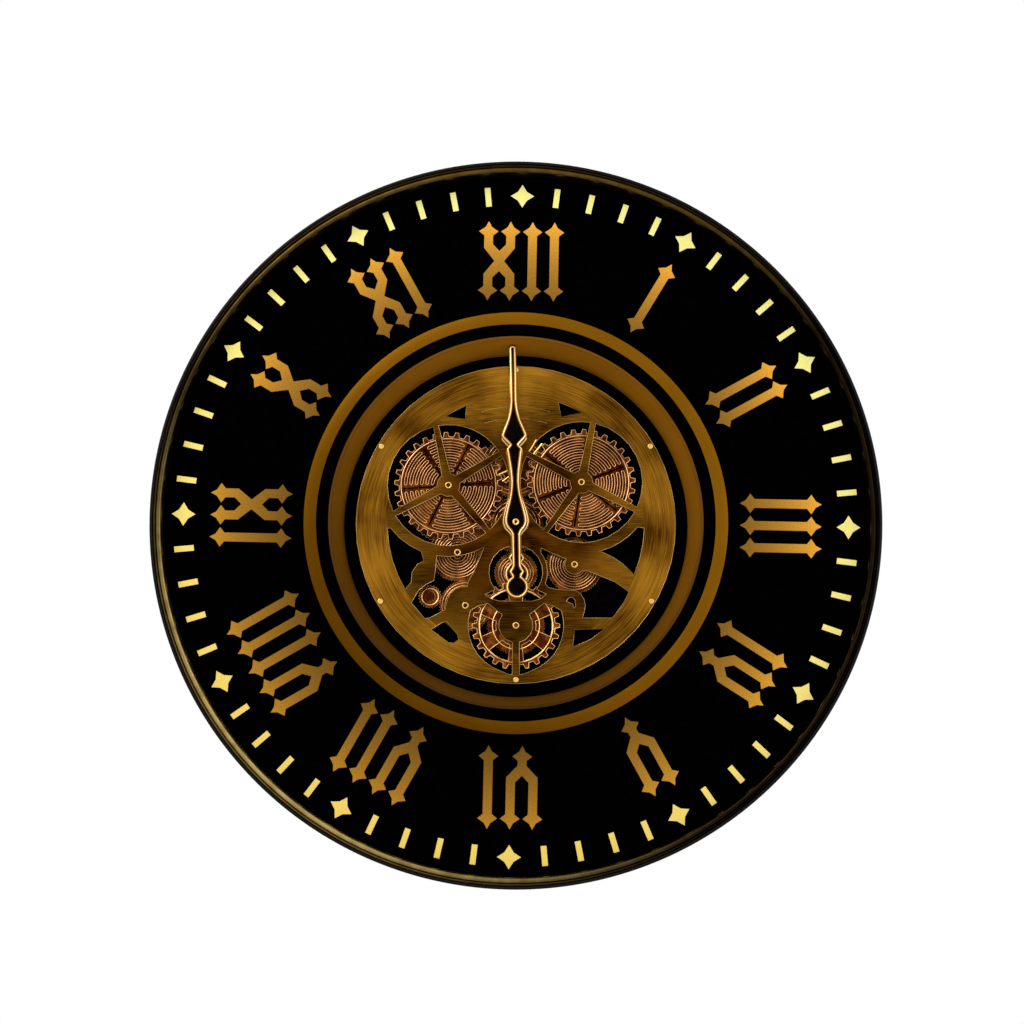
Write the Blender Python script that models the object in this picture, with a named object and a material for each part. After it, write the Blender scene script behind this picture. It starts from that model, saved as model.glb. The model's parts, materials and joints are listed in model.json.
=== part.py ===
"""Gear wall clock: a round case with a sunk skeleton movement, seen through the open middle of its dial.

X points right and Z up as the clock hangs, and Y points into the wall. The origin is on the axis of the
hands, halfway between the wall and the front edge of the case. A depth is given as reach, the distance
in front of the wall. All lengths are in metres.
"""

from math import asin, cos, pi, radians, sin

import bmesh
import bpy
from mathutils import Vector
from mathutils.geometry import tessellate_polygon

# Case and bezel
CASE_R = 0.2970
CASE_DEPTH = 0.0700
CASE_LIP = 0.0024
CASE_WALL = 0.0022
LEDGE_T = 0.0059
LEDGE_EXTRA = 0.0006
BEZEL_W = 0.0066
BEZEL_H = 0.0117
FIT = 0.0003
RUN = 0.0004

# Dial and its rings
DIAL_SETBACK = 0.0185
DIAL_T = 0.0015
DIAL_TURN = radians(1.18)
OUTER_RING_W = 0.0102
RING_SPACE = 0.0099
TRIM_T = 0.0006
SHEET_T = 0.0004
WELL_SPACE = 0.0106
WELL_TAPER = 0.0082
WELL_FLANGE_W = 0.0026
WELL_WALL = 0.0010

# Pan that carries the movement
PAN_WALL = 0.0015
PAN_FLANGE_W = 0.0060
PAN_LAND_W = 0.0089
PAN_STEP = 0.0075

# Hour and minute marks
MARK_INSET = 0.0250
BAR_LENGTH = 0.0160
BAR_WIDTH = 0.0047
STAR_TIP = 0.0097
STAR_WAIST = 0.0053
NUMERAL_T = 0.0008
MARK_T = 0.0003
NUMERAL_FOOT_SPACE = 0.0093
NUMERAL_TOP_SPACE = 0.0140
# Three numerals are printed a little to one side of their hours
NUMERAL_TURNS = {4: radians(-1.6), 7: radians(1.5), 8: radians(1.1)}

# Movement plates
PLATE_SETBACK = 0.0200
PLATE_T = 0.0025
RING_INSIDE = 0.1064
PLATE_RIM = 0.0258
BACK_PLATE_INSET = 0.0097
BACK_PLATE_T = 0.0020
PLATE_SCREW_INSET = 0.0032
PLATE_SCREW_HEAD = 0.0022
PLATE_SCREW_R = 0.0012
PILLAR_INSET = 0.0035
PILLARS = 3
PILLAR_R = 0.0028
SPIGOT_R = 0.0014
WINDOW_R = 0.0507
WINDOW_BAND = 0.0088
WINDOW_HUB = 0.0095
SPOKE_HUB_HALF = 0.0036
SPOKE_RIM_HALF = 0.0021
LOWER_WINDOW_R = 0.0223
LOWER_RIM = 0.0038
RIGHT_LOBE_R = 0.0082
BRIDGE_DISC_R = 0.0142
BRIDGE_BAR_HALF = 0.0029
BOTTOM_WINDOW_R = 0.0395

# Wheels
COARSE_MODULE = 0.002867
COARSE_TIP = 0.0018
COARSE_ROOT = 0.0021
FINE_MODULE = 0.00076
FINE_TIP = 0.00050
FINE_ROOT = 0.00085
COARSE_T = 0.0026
FINE_T = 0.0021
PLATE_GAP = 0.0008
WHEEL_GAP = 0.0014
RING_GAP = 0.0005
TOOTHED_RING_T = 0.0008
TOOTHED_RING_TEETH = 72
TOOTHED_RING_R = 0.0402
TOOTHED_RING_BORE = 0.0310
TOOTHED_RING_OFFSET = (0.0044, -0.0092)
HUB_R = 0.0045
ARBOR_R = 0.0030
PIVOT_R = 0.0016
PIVOT_STAND = 0.0005
STUD_R = 0.0020
STUD_HEAD_R = 0.0030
STUD_HEAD_T = 0.0006
SLOT_HALF = 0.0007
SLOT_IN = 0.0110
SLOT_OUT = 0.0375
SPOKE_WINDOW_OUT = 0.0300
SPOKE_WINDOW_IN = 0.0165

# Hands, their axis and the quartz movement
MINUTE_LENGTH = 0.1467
HOUR_LENGTH = 0.1065
HAND_T = 0.0012
HAND_TIP_HALF = 0.0009
HAND_HALF = 0.0019
HAND_GAP = 0.0010
HAND_STANDOFF = 0.0076
HANDS_TURN = radians(1.07)
MINUTE_ARBOR_R = 0.0013
HOUR_TUBE_R = 0.0026
TUBE_WALL = 0.0009
BUSH_WALL = 0.0011
NUT_R = 0.0068
NUT_T = 0.0025
CAP_R = 0.0028
CAP_H = 0.0022
QUARTZ_W = 0.0560
QUARTZ_T = 0.0156
KNOB_R = 0.0060
KNOB_T = 0.0018
KNOB_Z = 0.0160
KNOB_SHAFT_R = 0.0015
CELL_R = 0.0070
CELL_LENGTH = 0.0500
CELL_ROOM = 0.0010
QUARTZ_CELL_Z = -0.0160

# Gear motor, battery box and switch
MOTOR_W = 0.0340
MOTOR_H = 0.0260
MOTOR_SPACE = 0.0017
BOX_X = -0.1180
BOX_INSET = 0.1120
BOX_W = 0.0800
BOX_H = 0.0220
BOX_FLOOR = 0.0018
BAY_OFFSET = -0.0110
SWITCH_OFFSET = 0.0290
SWITCH_W = 0.0052
SWITCH_TRAVEL = 0.0050
SWITCH_DEPTH = 0.0030
LEAD_R = 0.0011

# Back panel, posts and hanger
PANEL_T = 0.0025
PANEL_INSET = 0.0015
POST_INSET = 0.0290
POSTS = 4
POST_R = 0.0045
POST_BORE_DEPTH = 0.0120
PANEL_SCREW_R = 0.0014
PANEL_SCREW_HEAD = 0.0029
PANEL_SCREW_SINK = 0.0012
HANGER_INSET = 0.0720
HANGER_HOLE_R = 0.0050
HANGER_SLOT_HALF = 0.0026
HANGER_SLOT = 0.0130
HANGER_W = 0.0560
HANGER_H = 0.0340
HANGER_T = 0.0015
RIVET_X = 0.0200
RIVET_R = 0.0014
RIVET_HEAD = 0.0028

# Facets of the round shapes
RING_FACETS = 52
PAN_FACETS = 40
DISC_FACETS = 36
HUB_FACETS = 10
PIN_FACETS = 8

ROMAN = ("I", "II", "III", "IV", "V", "VI", "VII", "VIII", "IX", "X", "XI", "XII")

# Radii of what sits round the movement, from its plate outwards
PLATE_R = RING_INSIDE + PLATE_RIM
PLATE_SCREW_RING = PLATE_R - PLATE_SCREW_INSET
BACK_PLATE_R = PLATE_R - BACK_PLATE_INSET
PILLAR_RING = BACK_PLATE_R - PILLAR_INSET
PAN_STEP_R = PLATE_R + FIT
WELL_FOOT_R = PLATE_R + WELL_SPACE
WELL_MOUTH_R = WELL_FOOT_R + WELL_TAPER
PAN_R = WELL_MOUTH_R + WELL_WALL + FIT
OUTER_RING_INSIDE = WELL_MOUTH_R + WELL_FLANGE_W + RING_SPACE
OUTER_RING_R = OUTER_RING_INSIDE + OUTER_RING_W

# Radii and places taken from the rim of the case inwards
LIP_R = CASE_R - CASE_LIP
BEZEL_OUT_R = LIP_R - FIT
BEZEL_IN_R = BEZEL_OUT_R - BEZEL_W
LEDGE_R = BEZEL_IN_R + LEDGE_EXTRA
MARK_R = CASE_R - MARK_INSET
POST_RING = CASE_R - POST_INSET
HANGER_Z = CASE_R - HANGER_INSET
BOX_Z = BOX_INSET - CASE_R

# The numerals fill the space between the outer ring and the marks
NUMERAL_H = MARK_R - BAR_LENGTH / 2 - NUMERAL_TOP_SPACE - OUTER_RING_R - NUMERAL_FOOT_SPACE
NUMERAL_R = OUTER_RING_R + NUMERAL_FOOT_SPACE + NUMERAL_H / 2
STROKE_HALF = 0.0545 * NUMERAL_H
STROKE_PITCH = 0.2716 * NUMERAL_H
HEAD_HALF = 0.1194 * NUMERAL_H
HEAD_DROP = 0.1269 * NUMERAL_H
HEAD_BASE = 0.1791 * NUMERAL_H
HEAD_CURVE = (0.0388 * NUMERAL_H, 0.0716 * NUMERAL_H)
V_CORNER = (0.0597 * NUMERAL_H, 0.1194 * NUMERAL_H, 0.1418 * NUMERAL_H)
V_NECK = 0.2612 * NUMERAL_H
X_CORNER = (0.1269 * NUMERAL_H, 0.1642 * NUMERAL_H, 0.2090 * NUMERAL_H)
X_WAIST = 0.0597 * NUMERAL_H

# The stack of layers, as reaches in front of the wall
DIAL_FACE = CASE_DEPTH - DIAL_SETBACK
DIAL_BACK = DIAL_FACE - DIAL_T
PLATE_FACE = DIAL_FACE - PLATE_SETBACK
PLATE_BACK = PLATE_FACE - PLATE_T
PAN_LAND_FACE = PLATE_BACK - FIT
PAN_FLOOR_FACE = PAN_LAND_FACE - PAN_STEP
COARSE_FACE = PLATE_BACK - PLATE_GAP
COARSE_BACK = COARSE_FACE - COARSE_T
FINE_FACE = COARSE_BACK - WHEEL_GAP
FINE_BACK = FINE_FACE - FINE_T
TOOTHED_RING_FACE = FINE_BACK - RING_GAP
TOOTHED_RING_BACK = TOOTHED_RING_FACE - TOOTHED_RING_T
BACK_PLATE_FACE = TOOTHED_RING_BACK - FIT
BACK_PLATE_BACK = BACK_PLATE_FACE - BACK_PLATE_T
QUARTZ_FACE = BACK_PLATE_BACK - FIT
QUARTZ_BACK = QUARTZ_FACE - QUARTZ_T
HOUR_BACK = PLATE_FACE + HAND_STANDOFF
HOUR_FACE = HOUR_BACK + HAND_T
MINUTE_BACK = HOUR_FACE + HAND_GAP
MINUTE_FACE = MINUTE_BACK + HAND_T
BUSH_BORE = HOUR_TUBE_R + FIT + 0.00005
BUSH_R = BUSH_BORE + BUSH_WALL
CELL_REACH = QUARTZ_FACE - 2 * FIT - 0.0008 - CELL_R
MOTOR_BACK = PANEL_T + MOTOR_SPACE


def arc(centre, radius, start, end, count):
    """Points on a circle from start to end, in degrees, counter-clockwise as seen from the front."""
    steps = [radians(start + (end - start) * i / (count - 1)) for i in range(count)]
    return [(centre[0] + radius * cos(a), centre[1] + radius * sin(a)) for a in steps]


def circle(centre, radius, count):
    """A closed round loop."""
    return [(centre[0] + radius * cos(2 * pi * i / count), centre[1] + radius * sin(2 * pi * i / count))
            for i in range(count)]


def block(centre, width, height):
    """A closed rectangular loop."""
    x, z = centre
    return [(x - width / 2, z - height / 2), (x + width / 2, z - height / 2),
            (x + width / 2, z + height / 2), (x - width / 2, z + height / 2)]


def mm(*points):
    """Points given in millimetres."""
    return [(x * 0.001, z * 0.001) for x, z in points]


def mirrored(loop):
    """The same loop on the other side of the middle."""
    return [(-x, z) for x, z in reversed(loop)]


def polar(centre, radius, angle):
    """The point at an angle in radians and a distance from a centre."""
    return (centre[0] + radius * cos(angle), centre[1] + radius * sin(angle))


class Gear:
    """Teeth, place and turn of a toothed wheel, with its first tooth at its turn from +X."""

    def __init__(self, teeth, module, centre, turn=0.0):
        self.teeth = teeth
        self.module = module
        self.centre = centre
        self.turn = turn
        self.pitch_r = teeth * module / 2

    def meshed(self, teeth, bearing):
        """A wheel in mesh with this one, in the direction of bearing in degrees."""
        line = radians(bearing)
        distance = self.module * (self.teeth + teeth) / 2
        share = (line - self.turn) * self.teeth / (2 * pi)
        turn = line + pi - (0.5 - share) * 2 * pi / teeth
        return Gear(teeth, self.module, polar(self.centre, distance, line), turn)

    def coarse_outline(self):
        """Blunt teeth, each with a flat tip."""
        loop = []
        step = 2 * pi / self.teeth
        for i in range(self.teeth):
            for radius, part in ((self.pitch_r - COARSE_ROOT, -0.27), (self.pitch_r + COARSE_TIP, -0.15),
                                 (self.pitch_r + COARSE_TIP, 0.15), (self.pitch_r - COARSE_ROOT, 0.27)):
                loop.append(polar((0, 0), radius, step * (i + part)))
        return loop

    def fine_outline(self):
        """Pointed teeth."""
        return pointed_teeth(self.teeth, self.pitch_r)


def pointed_teeth(teeth, radius):
    """A ring of pointed teeth round a pitch circle."""
    loop = []
    step = 2 * pi / teeth
    for i in range(teeth):
        loop.append(polar((0, 0), radius - FINE_ROOT, step * (i - 0.5)))
        loop.append(polar((0, 0), radius + FINE_TIP, step * i))
    return loop


# The train, from the wheel round the hand axis outwards
CENTRE = Gear(60, FINE_MODULE, (0.0, 0.0))
THIRD = CENTRE.meshed(69, 91.29)
LOWER = CENTRE.meshed(46, -90.0)
IDLER_LEFT = CENTRE.meshed(24, 173.0)
IDLER_RIGHT = CENTRE.meshed(18, -27.2)
LEFT = IDLER_LEFT.meshed(61, 239.2)
RIGHT = IDLER_RIGHT.meshed(61, -42.7)
LOWER_LEFT = LEFT.meshed(56, -81.5)
DRIVER = LOWER_LEFT.meshed(24, 165.0)
BOTTOM_FINE = LOWER_LEFT.meshed(62, -21.5)
PINION = Gear(10, COARSE_MODULE, THIRD.centre, THIRD.turn)
GREAT_LEFT = PINION.meshed(30, 197.1)
GREAT_RIGHT = PINION.meshed(30, -14.5)
BOTTOM = Gear(24, COARSE_MODULE, BOTTOM_FINE.centre)
PLATE_PIVOTS = (GREAT_LEFT, GREAT_RIGHT, PINION, LEFT, RIGHT, LOWER_LEFT, BOTTOM)
STUDDED = (LOWER, IDLER_LEFT, IDLER_RIGHT)


def ring_of(bm, loop, reach):
    """Vertices of one loop, at a reach in front of the wall."""
    return [bm.verts.new((x, CASE_DEPTH / 2 - reach, z)) for x, z in loop]


def wall(bm, first, second):
    """Faces between two loops with the same number of points."""
    for i in range(len(first)):
        j = (i + 1) % len(first)
        bm.faces.new((first[i], first[j], second[j], second[i]))


def cap(bm, rings):
    """Faces that fill the outer loop up to the loops inside it."""
    flat = [[Vector((v.co.x * 1000, v.co.z * 1000, 0)) for v in ring] for ring in rings]
    verts = [v for ring in rings for v in ring]
    for corners in tessellate_polygon(flat):
        bm.faces.new([verts[i] for i in corners])


def chain(bm, steps):
    """Loops joined one after another by walls."""
    rings = [ring_of(bm, loop, reach) for loop, reach in steps]
    for first, second in zip(rings, rings[1:]):
        wall(bm, first, second)
    return rings


def add_solid(bm, outer, through=(), on_front=(), on_back=()):
    """One closed body. Each chain of (loop, reach) steps runs from the front face to the back face."""
    rings = chain(bm, outer)
    front = [rings[0]]
    back = [rings[-1]]
    for steps in through:
        rings = chain(bm, steps)
        front.append(rings[0])
        back.append(rings[-1])
    for steps, side in [(s, front) for s in on_front] + [(s, back) for s in on_back]:
        rings = chain(bm, steps)
        side.append(rings[0])
        cap(bm, [rings[-1]])
    cap(bm, front)
    cap(bm, back)


def straight(loop, front, back):
    """The chain of a loop that runs straight from front to back."""
    return [(loop, front), (loop, back)]


def turned(centre, steps, facets=HUB_FACETS):
    """The chain of a turned shape, from (radius, reach) steps."""
    return [(circle(centre, radius, facets), reach) for radius, reach in steps]


def shaded_mesh(bm, name, materials):
    """The mesh of a finished body, smooth but for its sharp edges."""
    bmesh.ops.recalc_face_normals(bm, faces=bm.faces)
    mesh = bpy.data.meshes.new(name)
    bm.to_mesh(mesh)
    bm.free()
    for material in materials:
        mesh.materials.append(material)
    mesh.shade_smooth()
    mesh.set_sharp_from_angle(angle=radians(30))
    return mesh


def place(mesh, name, centre=(0.0, 0.0), turn=0.0):
    """An object with this mesh, turned counter-clockwise as seen from the front."""
    obj = bpy.data.objects.new(name, mesh)
    bpy.context.scene.collection.objects.link(obj)
    obj.location = (centre[0], 0, centre[1])
    obj.rotation_euler = (0, -turn, 0)


def piece(name, material, outer, through=(), on_front=(), on_back=(), centre=(0.0, 0.0), turn=0.0):
    """An object of one closed body."""
    bm = bmesh.new()
    add_solid(bm, outer, through, on_front, on_back)
    place(shaded_mesh(bm, name, [material]), name, centre, turn)


def alike(name, material, spots, steps, on_back=()):
    """The same turned piece at each spot, as objects that share one mesh and are numbered from 1."""
    bm = bmesh.new()
    add_solid(bm, turned((0, 0), steps, PIN_FACETS), on_back=on_back)
    mesh = shaded_mesh(bm, name, [material])
    for number, spot in enumerate(spots, start=1):
        place(mesh, f"{name}_{number}", spot)


def finish(name, colour, metallic, roughness):
    """A material from an sRGB hex colour."""
    channels = [int(colour[i:i + 2], 16) / 255 for i in (1, 3, 5)]
    linear = [c / 12.92 if c <= 0.04045 else ((c + 0.055) / 1.055) ** 2.4 for c in channels]
    material = bpy.data.materials.new(name)
    material.use_nodes = True
    shader = material.node_tree.nodes["Principled BSDF"]
    shader.inputs["Base Color"].default_value = (*linear, 1)
    shader.inputs["Metallic"].default_value = metallic
    shader.inputs["Roughness"].default_value = roughness
    return material


def make_finishes():
    """The finishes of the clock, by name."""
    return {
        "case_black": finish("case_black", "#0c0b0b", 0.0, 0.30),
        "bezel_bronze": finish("bezel_bronze", "#8f7a50", 1.0, 0.32),
        "dial_black": finish("dial_black", "#060607", 0.0, 0.35),
        "ring_gold": finish("ring_gold", "#8e5f14", 1.0, 0.40),
        "numeral_gold": finish("numeral_gold", "#b9822a", 1.0, 0.38),
        "mark_gold": finish("mark_gold", "#f1e08a", 1.0, 0.30),
        "plate_brass": finish("plate_brass", "#9c6a1e", 1.0, 0.38),
        "screw_brass": finish("screw_brass", "#e2c27a", 1.0, 0.25),
        "wheel_copper": finish("wheel_copper", "#8d5a34", 1.0, 0.36),
        "fine_copper": finish("fine_copper", "#84502b", 1.0, 0.40),
        "driver_gold": finish("driver_gold", "#d9a860", 1.0, 0.28),
        "arbor_steel": finish("arbor_steel", "#b9b4aa", 1.0, 0.30),
        "hand_black": finish("hand_black", "#0a0909", 0.0, 0.30),
        "moulded_black": finish("moulded_black", "#161616", 0.0, 0.50),
        "panel_black": finish("panel_black", "#1b1a19", 0.0, 0.60),
        "zinc_steel": finish("zinc_steel", "#9ea2a5", 1.0, 0.35),
        "cell_jacket": finish("cell_jacket", "#3a5f3f", 0.0, 0.40),
        "lead_red": finish("lead_red", "#8c1f1b", 0.0, 0.50),
    }


def make_case(paint):
    """The black band with its ledge, and the bezel that sits on the ledge."""
    inside = CASE_R - CASE_WALL
    ledge_back = DIAL_FACE + FIT
    ledge_face = ledge_back + LEDGE_T
    foot = PANEL_T + FIT
    inner = [(LIP_R, CASE_DEPTH), (LIP_R, ledge_face), (LEDGE_R, ledge_face), (LEDGE_R, ledge_back),
             (inside, ledge_back), (inside, foot)]
    piece("case_band", paint["case_black"],
          turned((0, 0), [(CASE_R, CASE_DEPTH), (CASE_R, foot)], RING_FACETS),
          through=[turned((0, 0), inner, RING_FACETS)])
    foot = ledge_face + FIT
    crest = foot + BEZEL_H
    outer = [(BEZEL_IN_R + 0.72 * BEZEL_W, crest), (BEZEL_IN_R + 0.93 * BEZEL_W, crest - 0.0012),
             (BEZEL_OUT_R, crest - 0.0032), (BEZEL_OUT_R, foot)]
    inner = [(BEZEL_IN_R + 0.44 * BEZEL_W, crest), (BEZEL_IN_R + 0.14 * BEZEL_W, crest - 0.0015),
             (BEZEL_IN_R, crest - 0.0042), (BEZEL_IN_R, foot)]
    piece("bezel_ring", paint["bezel_bronze"], turned((0, 0), outer, RING_FACETS),
          through=[turned((0, 0), inner, RING_FACETS)])


def make_dial(paint):
    """The black hour ring, the flat gold ring, the gold funnel and the stepped pan behind them."""
    plate_r = CASE_R - CASE_WALL - FIT
    piece("dial_plate", paint["dial_black"],
          turned((0, 0), [(plate_r, DIAL_FACE), (plate_r, DIAL_BACK)], RING_FACETS),
          through=[turned((0, 0), [(PAN_R, DIAL_FACE), (PAN_R, DIAL_BACK)], RING_FACETS)])
    trim_back = DIAL_FACE + FIT
    trim_face = trim_back + TRIM_T
    piece("outer_dial_ring", paint["ring_gold"],
          turned((0, 0), [(OUTER_RING_R, trim_face), (OUTER_RING_R, trim_back)], RING_FACETS),
          through=[turned((0, 0), [(OUTER_RING_INSIDE, trim_face), (OUTER_RING_INSIDE, trim_back)],
                          RING_FACETS)])
    flange_r = WELL_MOUTH_R + WELL_FLANGE_W
    foot = PAN_FLOOR_FACE + FIT
    piece("well_ring", paint["ring_gold"],
          turned((0, 0), [(flange_r, trim_face), (flange_r, trim_back), (WELL_MOUTH_R + WELL_WALL, trim_back),
                          (WELL_FOOT_R + WELL_WALL, foot)], RING_FACETS),
          through=[turned((0, 0), [(WELL_MOUTH_R, trim_face), (WELL_FOOT_R, foot)], RING_FACETS)])
    land_back = PAN_LAND_FACE - PAN_WALL
    floor_back = PAN_FLOOR_FACE - PAN_WALL
    top = DIAL_BACK - FIT
    pan = [(PAN_STEP_R, PAN_LAND_FACE), (PAN_STEP_R, PAN_FLOOR_FACE), (PAN_R, PAN_FLOOR_FACE), (PAN_R, top),
           (PAN_R + PAN_WALL + PAN_FLANGE_W, top), (PAN_R + PAN_WALL + PAN_FLANGE_W, top - PAN_WALL),
           (PAN_R + PAN_WALL, top - PAN_WALL), (PAN_R + PAN_WALL, floor_back),
           (PAN_STEP_R - PAN_WALL, floor_back), (PAN_STEP_R - PAN_WALL, land_back)]
    land_in = PAN_STEP_R - PAN_LAND_W
    holes = [turned(spot, [(PLATE_SCREW_R + FIT, PAN_LAND_FACE), (PLATE_SCREW_R + FIT, land_back)],
                    PIN_FACETS) for spot in plate_screw_spots()]
    piece("dial_well", paint["dial_black"], turned((0, 0), pan, RING_FACETS),
          through=[turned((0, 0), [(land_in, PAN_LAND_FACE), (land_in, land_back)], RING_FACETS)] + holes)


def head(centre, up):
    """The pointed end of a numeral's stroke, from its left foot over the tip to its right foot."""
    tip = up * NUMERAL_H / 2
    right = [(0, tip), (HEAD_CURVE[0], tip - up * HEAD_CURVE[1]), (HEAD_HALF, tip - up * HEAD_DROP),
             (STROKE_HALF, tip - up * HEAD_BASE)]
    left = [(-u, v) for u, v in reversed(right[1:])]
    return [(centre + u, v) for u, v in left + right]


def letter_outline(letter, centre):
    """One stroke shape of a numeral: a single bar, two bars that join, or two that cross."""
    half = STROKE_PITCH / 2
    if letter == "I":
        return head(centre, 1) + [(2 * centre - u, v) for u, v in head(centre, -1)]
    right = head(half, 1)
    if letter == "V":
        inner, outer, notch = V_CORNER
        foot = [(u, v) for u, v in head(0, -1)]
        lower = [(STROKE_HALF, -V_NECK)] + foot[::-1][:3]
        side = [(half - STROKE_HALF, -inner)] + right + [(half + STROKE_HALF, -outer)] + lower
        loop = [(0, -notch)] + side + [foot[3]] + [(-u, v) for u, v in reversed(side)]
    else:
        notch, outer, inner = X_CORNER
        top = [(half - STROKE_HALF, inner)] + right + [(half + STROKE_HALF, outer)]
        low = [(u, -v) for u, v in reversed(top)]
        side = top + [(X_WAIST, 0)] + low
        loop = [(0, notch)] + side + [(0, -notch)] + [(-u, v) for u, v in reversed(side)]
    return [(centre + u, v) for u, v in loop]


def numeral_outlines():
    """The strokes of all the numerals, with their tops away from the middle."""
    outlines = []
    for hour, numeral in enumerate(ROMAN, start=1):
        turn = NUMERAL_TURNS.get(hour, 0) - radians(30 * hour)
        centre = polar((0, 0), NUMERAL_R, turn + pi / 2)
        slots = sum(1 if letter == "I" else 2 for letter in numeral)
        at = -(slots - 1) / 2 * STROKE_PITCH
        for letter in numeral:
            width = 0 if letter == "I" else 1
            outline = letter_outline(letter, at + width * STROKE_PITCH / 2)
            outlines.append([polar(polar(centre, u, turn), v, turn + pi / 2) for u, v in outline])
            at += (width + 1) * STROKE_PITCH
    return outlines


def mark_outlines():
    """The stars at the hours and the bars at the other minutes."""
    outlines = []
    for minute in range(60):
        turn = -radians(6 * minute) + pi / 2
        centre = polar((0, 0), MARK_R, turn)
        if minute % 5 == 0:
            outlines.append([polar(centre, STAR_WAIST if i % 2 else STAR_TIP, turn + i * pi / 4)
                             for i in range(8)])
        else:
            outlines.append([polar(polar(centre, u, turn), v, turn + pi / 2)
                             for u, v in block((0, 0), BAR_LENGTH, BAR_WIDTH)])
    return outlines


def make_sheet(paint):
    """The thin sheet on the dial, with the numerals and the marks raised on it."""
    back = DIAL_FACE + FIT
    face = back + SHEET_T
    raised = [[(outline, face), (outline, face + NUMERAL_T)] for outline in numeral_outlines()]
    raised += [[(outline, face), (outline, face + MARK_T)] for outline in mark_outlines()]
    bm = bmesh.new()
    edge = LEDGE_R - FIT
    add_solid(bm, turned((0, 0), [(edge, face), (edge, back)], RING_FACETS),
              through=[turned((0, 0), [(OUTER_RING_R + FIT, face), (OUTER_RING_R + FIT, back)], RING_FACETS)],
              on_front=raised)
    for facet in bm.faces:
        if facet.calc_center_median().y < CASE_DEPTH / 2 - face - MARK_T / 4:
            middle = facet.calc_center_median().xz.length
            facet.material_index = 1 if middle < NUMERAL_R + NUMERAL_H / 2 + FIT else 2
    mesh = shaded_mesh(bm, "dial_sheet", [paint["dial_black"], paint["numeral_gold"], paint["mark_gold"]])
    place(mesh, "dial_sheet", turn=-DIAL_TURN)


def plate_screw_spots():
    """Centres of the six screws of the front plate."""
    return [polar((0, 0), PLATE_SCREW_RING, radians(30 + 60 * i)) for i in range(6)]


def pillar_spots():
    """Centres of the pillars between the plates."""
    return [polar((0, 0), PILLAR_RING, radians(90 + 360 / PILLARS * i)) for i in range(PILLARS)]


def spoked_window(centre, angles):
    """The openings between the spokes of a round window."""
    openings = []
    for start, end in zip(angles, angles[1:] + [angles[0] + 360]):
        outside = asin(SPOKE_RIM_HALF / WINDOW_R) * 180 / pi
        inside = asin(SPOKE_HUB_HALF / WINDOW_HUB) * 180 / pi
        openings.append(arc(centre, WINDOW_R, start + outside, end - outside, 9)
                        + arc(centre, WINDOW_HUB, end - inside, start + inside, 3))
    return openings


def plate_openings():
    """The openings of the front plate, as closed loops."""
    left, right = GREAT_LEFT.centre, GREAT_RIGHT.centre
    lower, bottom, corner = LOWER.centre, BOTTOM.centre, LOWER_LEFT.centre
    band = WINDOW_R + WINDOW_BAND
    openings = spoked_window(left, [31.5, 102.0, 208.0, 310.5])
    openings += spoked_window(right, [78.7, 152.0, 234.0, 333.0])
    openings.append(arc((0, 0), RING_INSIDE, 182.0, 211.0, 5)
                    + mm((-86.2, -48.3), (-85.7, -40.3), (-81.2, -33.7), (-76.1, -31.2), (-77.1, -26.6))
                    + arc(left, band, 248.0, 217.0, 4))
    openings.append(mm((-86.2, -65.5), (-80.2, -55.4), (-74.1, -50.4), (-67.6, -47.3), (-66.4, -38.2))
                    + arc(left, band, 261.0, 300.0, 5)
                    + mm((-29.1, -27.1), (-35.2, -41.0), (-39.4, -48.6))
                    + arc(corner, 0.0157, 84.0, 178.0, 6)
                    + mm((-58.6, -71.6), (-71.1, -78.2), (-75.1, -78.7)))
    openings.append(mm((-70.0, -87.8), (-60.4, -81.7), (-56.9, -81.2), (-48.3, -91.3), (-46.8, -95.9),
                       (-50.8, -98.9), (-55.4, -98.4)))
    openings.append(arc((0, 0), RING_INSIDE, -2.0, -23.6, 4)
                    + mm((88.3, -33.5), (80.5, -28.2), (72.0, -23.9))
                    + arc(right, band, 284.0, 321.0, 5))
    openings.append(mm((20.8, -20.2), (30.0, -24.5))
                    + arc(RIGHT.centre, RIGHT_LOBE_R, 146.0, 320.0, 9)
                    + mm((59.5, -39.3), (69.5, -43.3), (81.7, -48.3), (93.4, -56.6), (89.4, -64.9),
                         (79.7, -78.2), (54.6, -78.2), (56.3, -73.5), (57.2, -68.0), (56.2, -62.8),
                         (53.4, -58.4), (49.6, -55.6), (33.7, -54.6), (27.0, -53.1))
                    + arc(lower, LOWER_WINDOW_R + LOWER_RIM, -22.0, 38.0, 6))
    openings.append(mm((48.3, -87.8), (72.6, -87.3), (61.4, -95.9), (46.8, -102.0)))
    openings.append(arc(lower, LOWER_WINDOW_R, -40.0, 220.0, 15)
                    + mm((-25.6, -58.6), (-20.0, -62.6), (-13.4, -64.3), (13.4, -64.3), (20.0, -62.6),
                         (25.6, -58.6)))
    angle = asin(BRIDGE_BAR_HALF / BRIDGE_DISC_R) * 180 / pi
    half = (mm((-23.2, -66.0), (-31.0, -68.2)) + arc(bottom, BOTTOM_WINDOW_R, 162.0, 250.0, 9)
            + [(-0.0063, -0.1244), (-BRIDGE_BAR_HALF, -0.1248)]
            + arc(bottom, BRIDGE_DISC_R, 270.0 - angle, 142.0, 6))
    openings += [half, mirrored(half)]
    openings.append(arc((0, 0), RING_INSIDE + 0.0008, 123.0, 112.5, 3) + mm((-42.0, 87.4)))
    openings.append(arc((0, 0), RING_INSIDE + 0.0016, 71.0, 59.5, 3) + mm((37.9, 89.4)))
    openings.append(mm((41.4, -64.6), (43.4, -61.6), (46.6, -61.0), (48.9, -63.6), (49.2, -68.6),
                       (47.7, -70.4), (46.9, -66.8), (44.0, -65.4)))
    return openings


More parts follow.
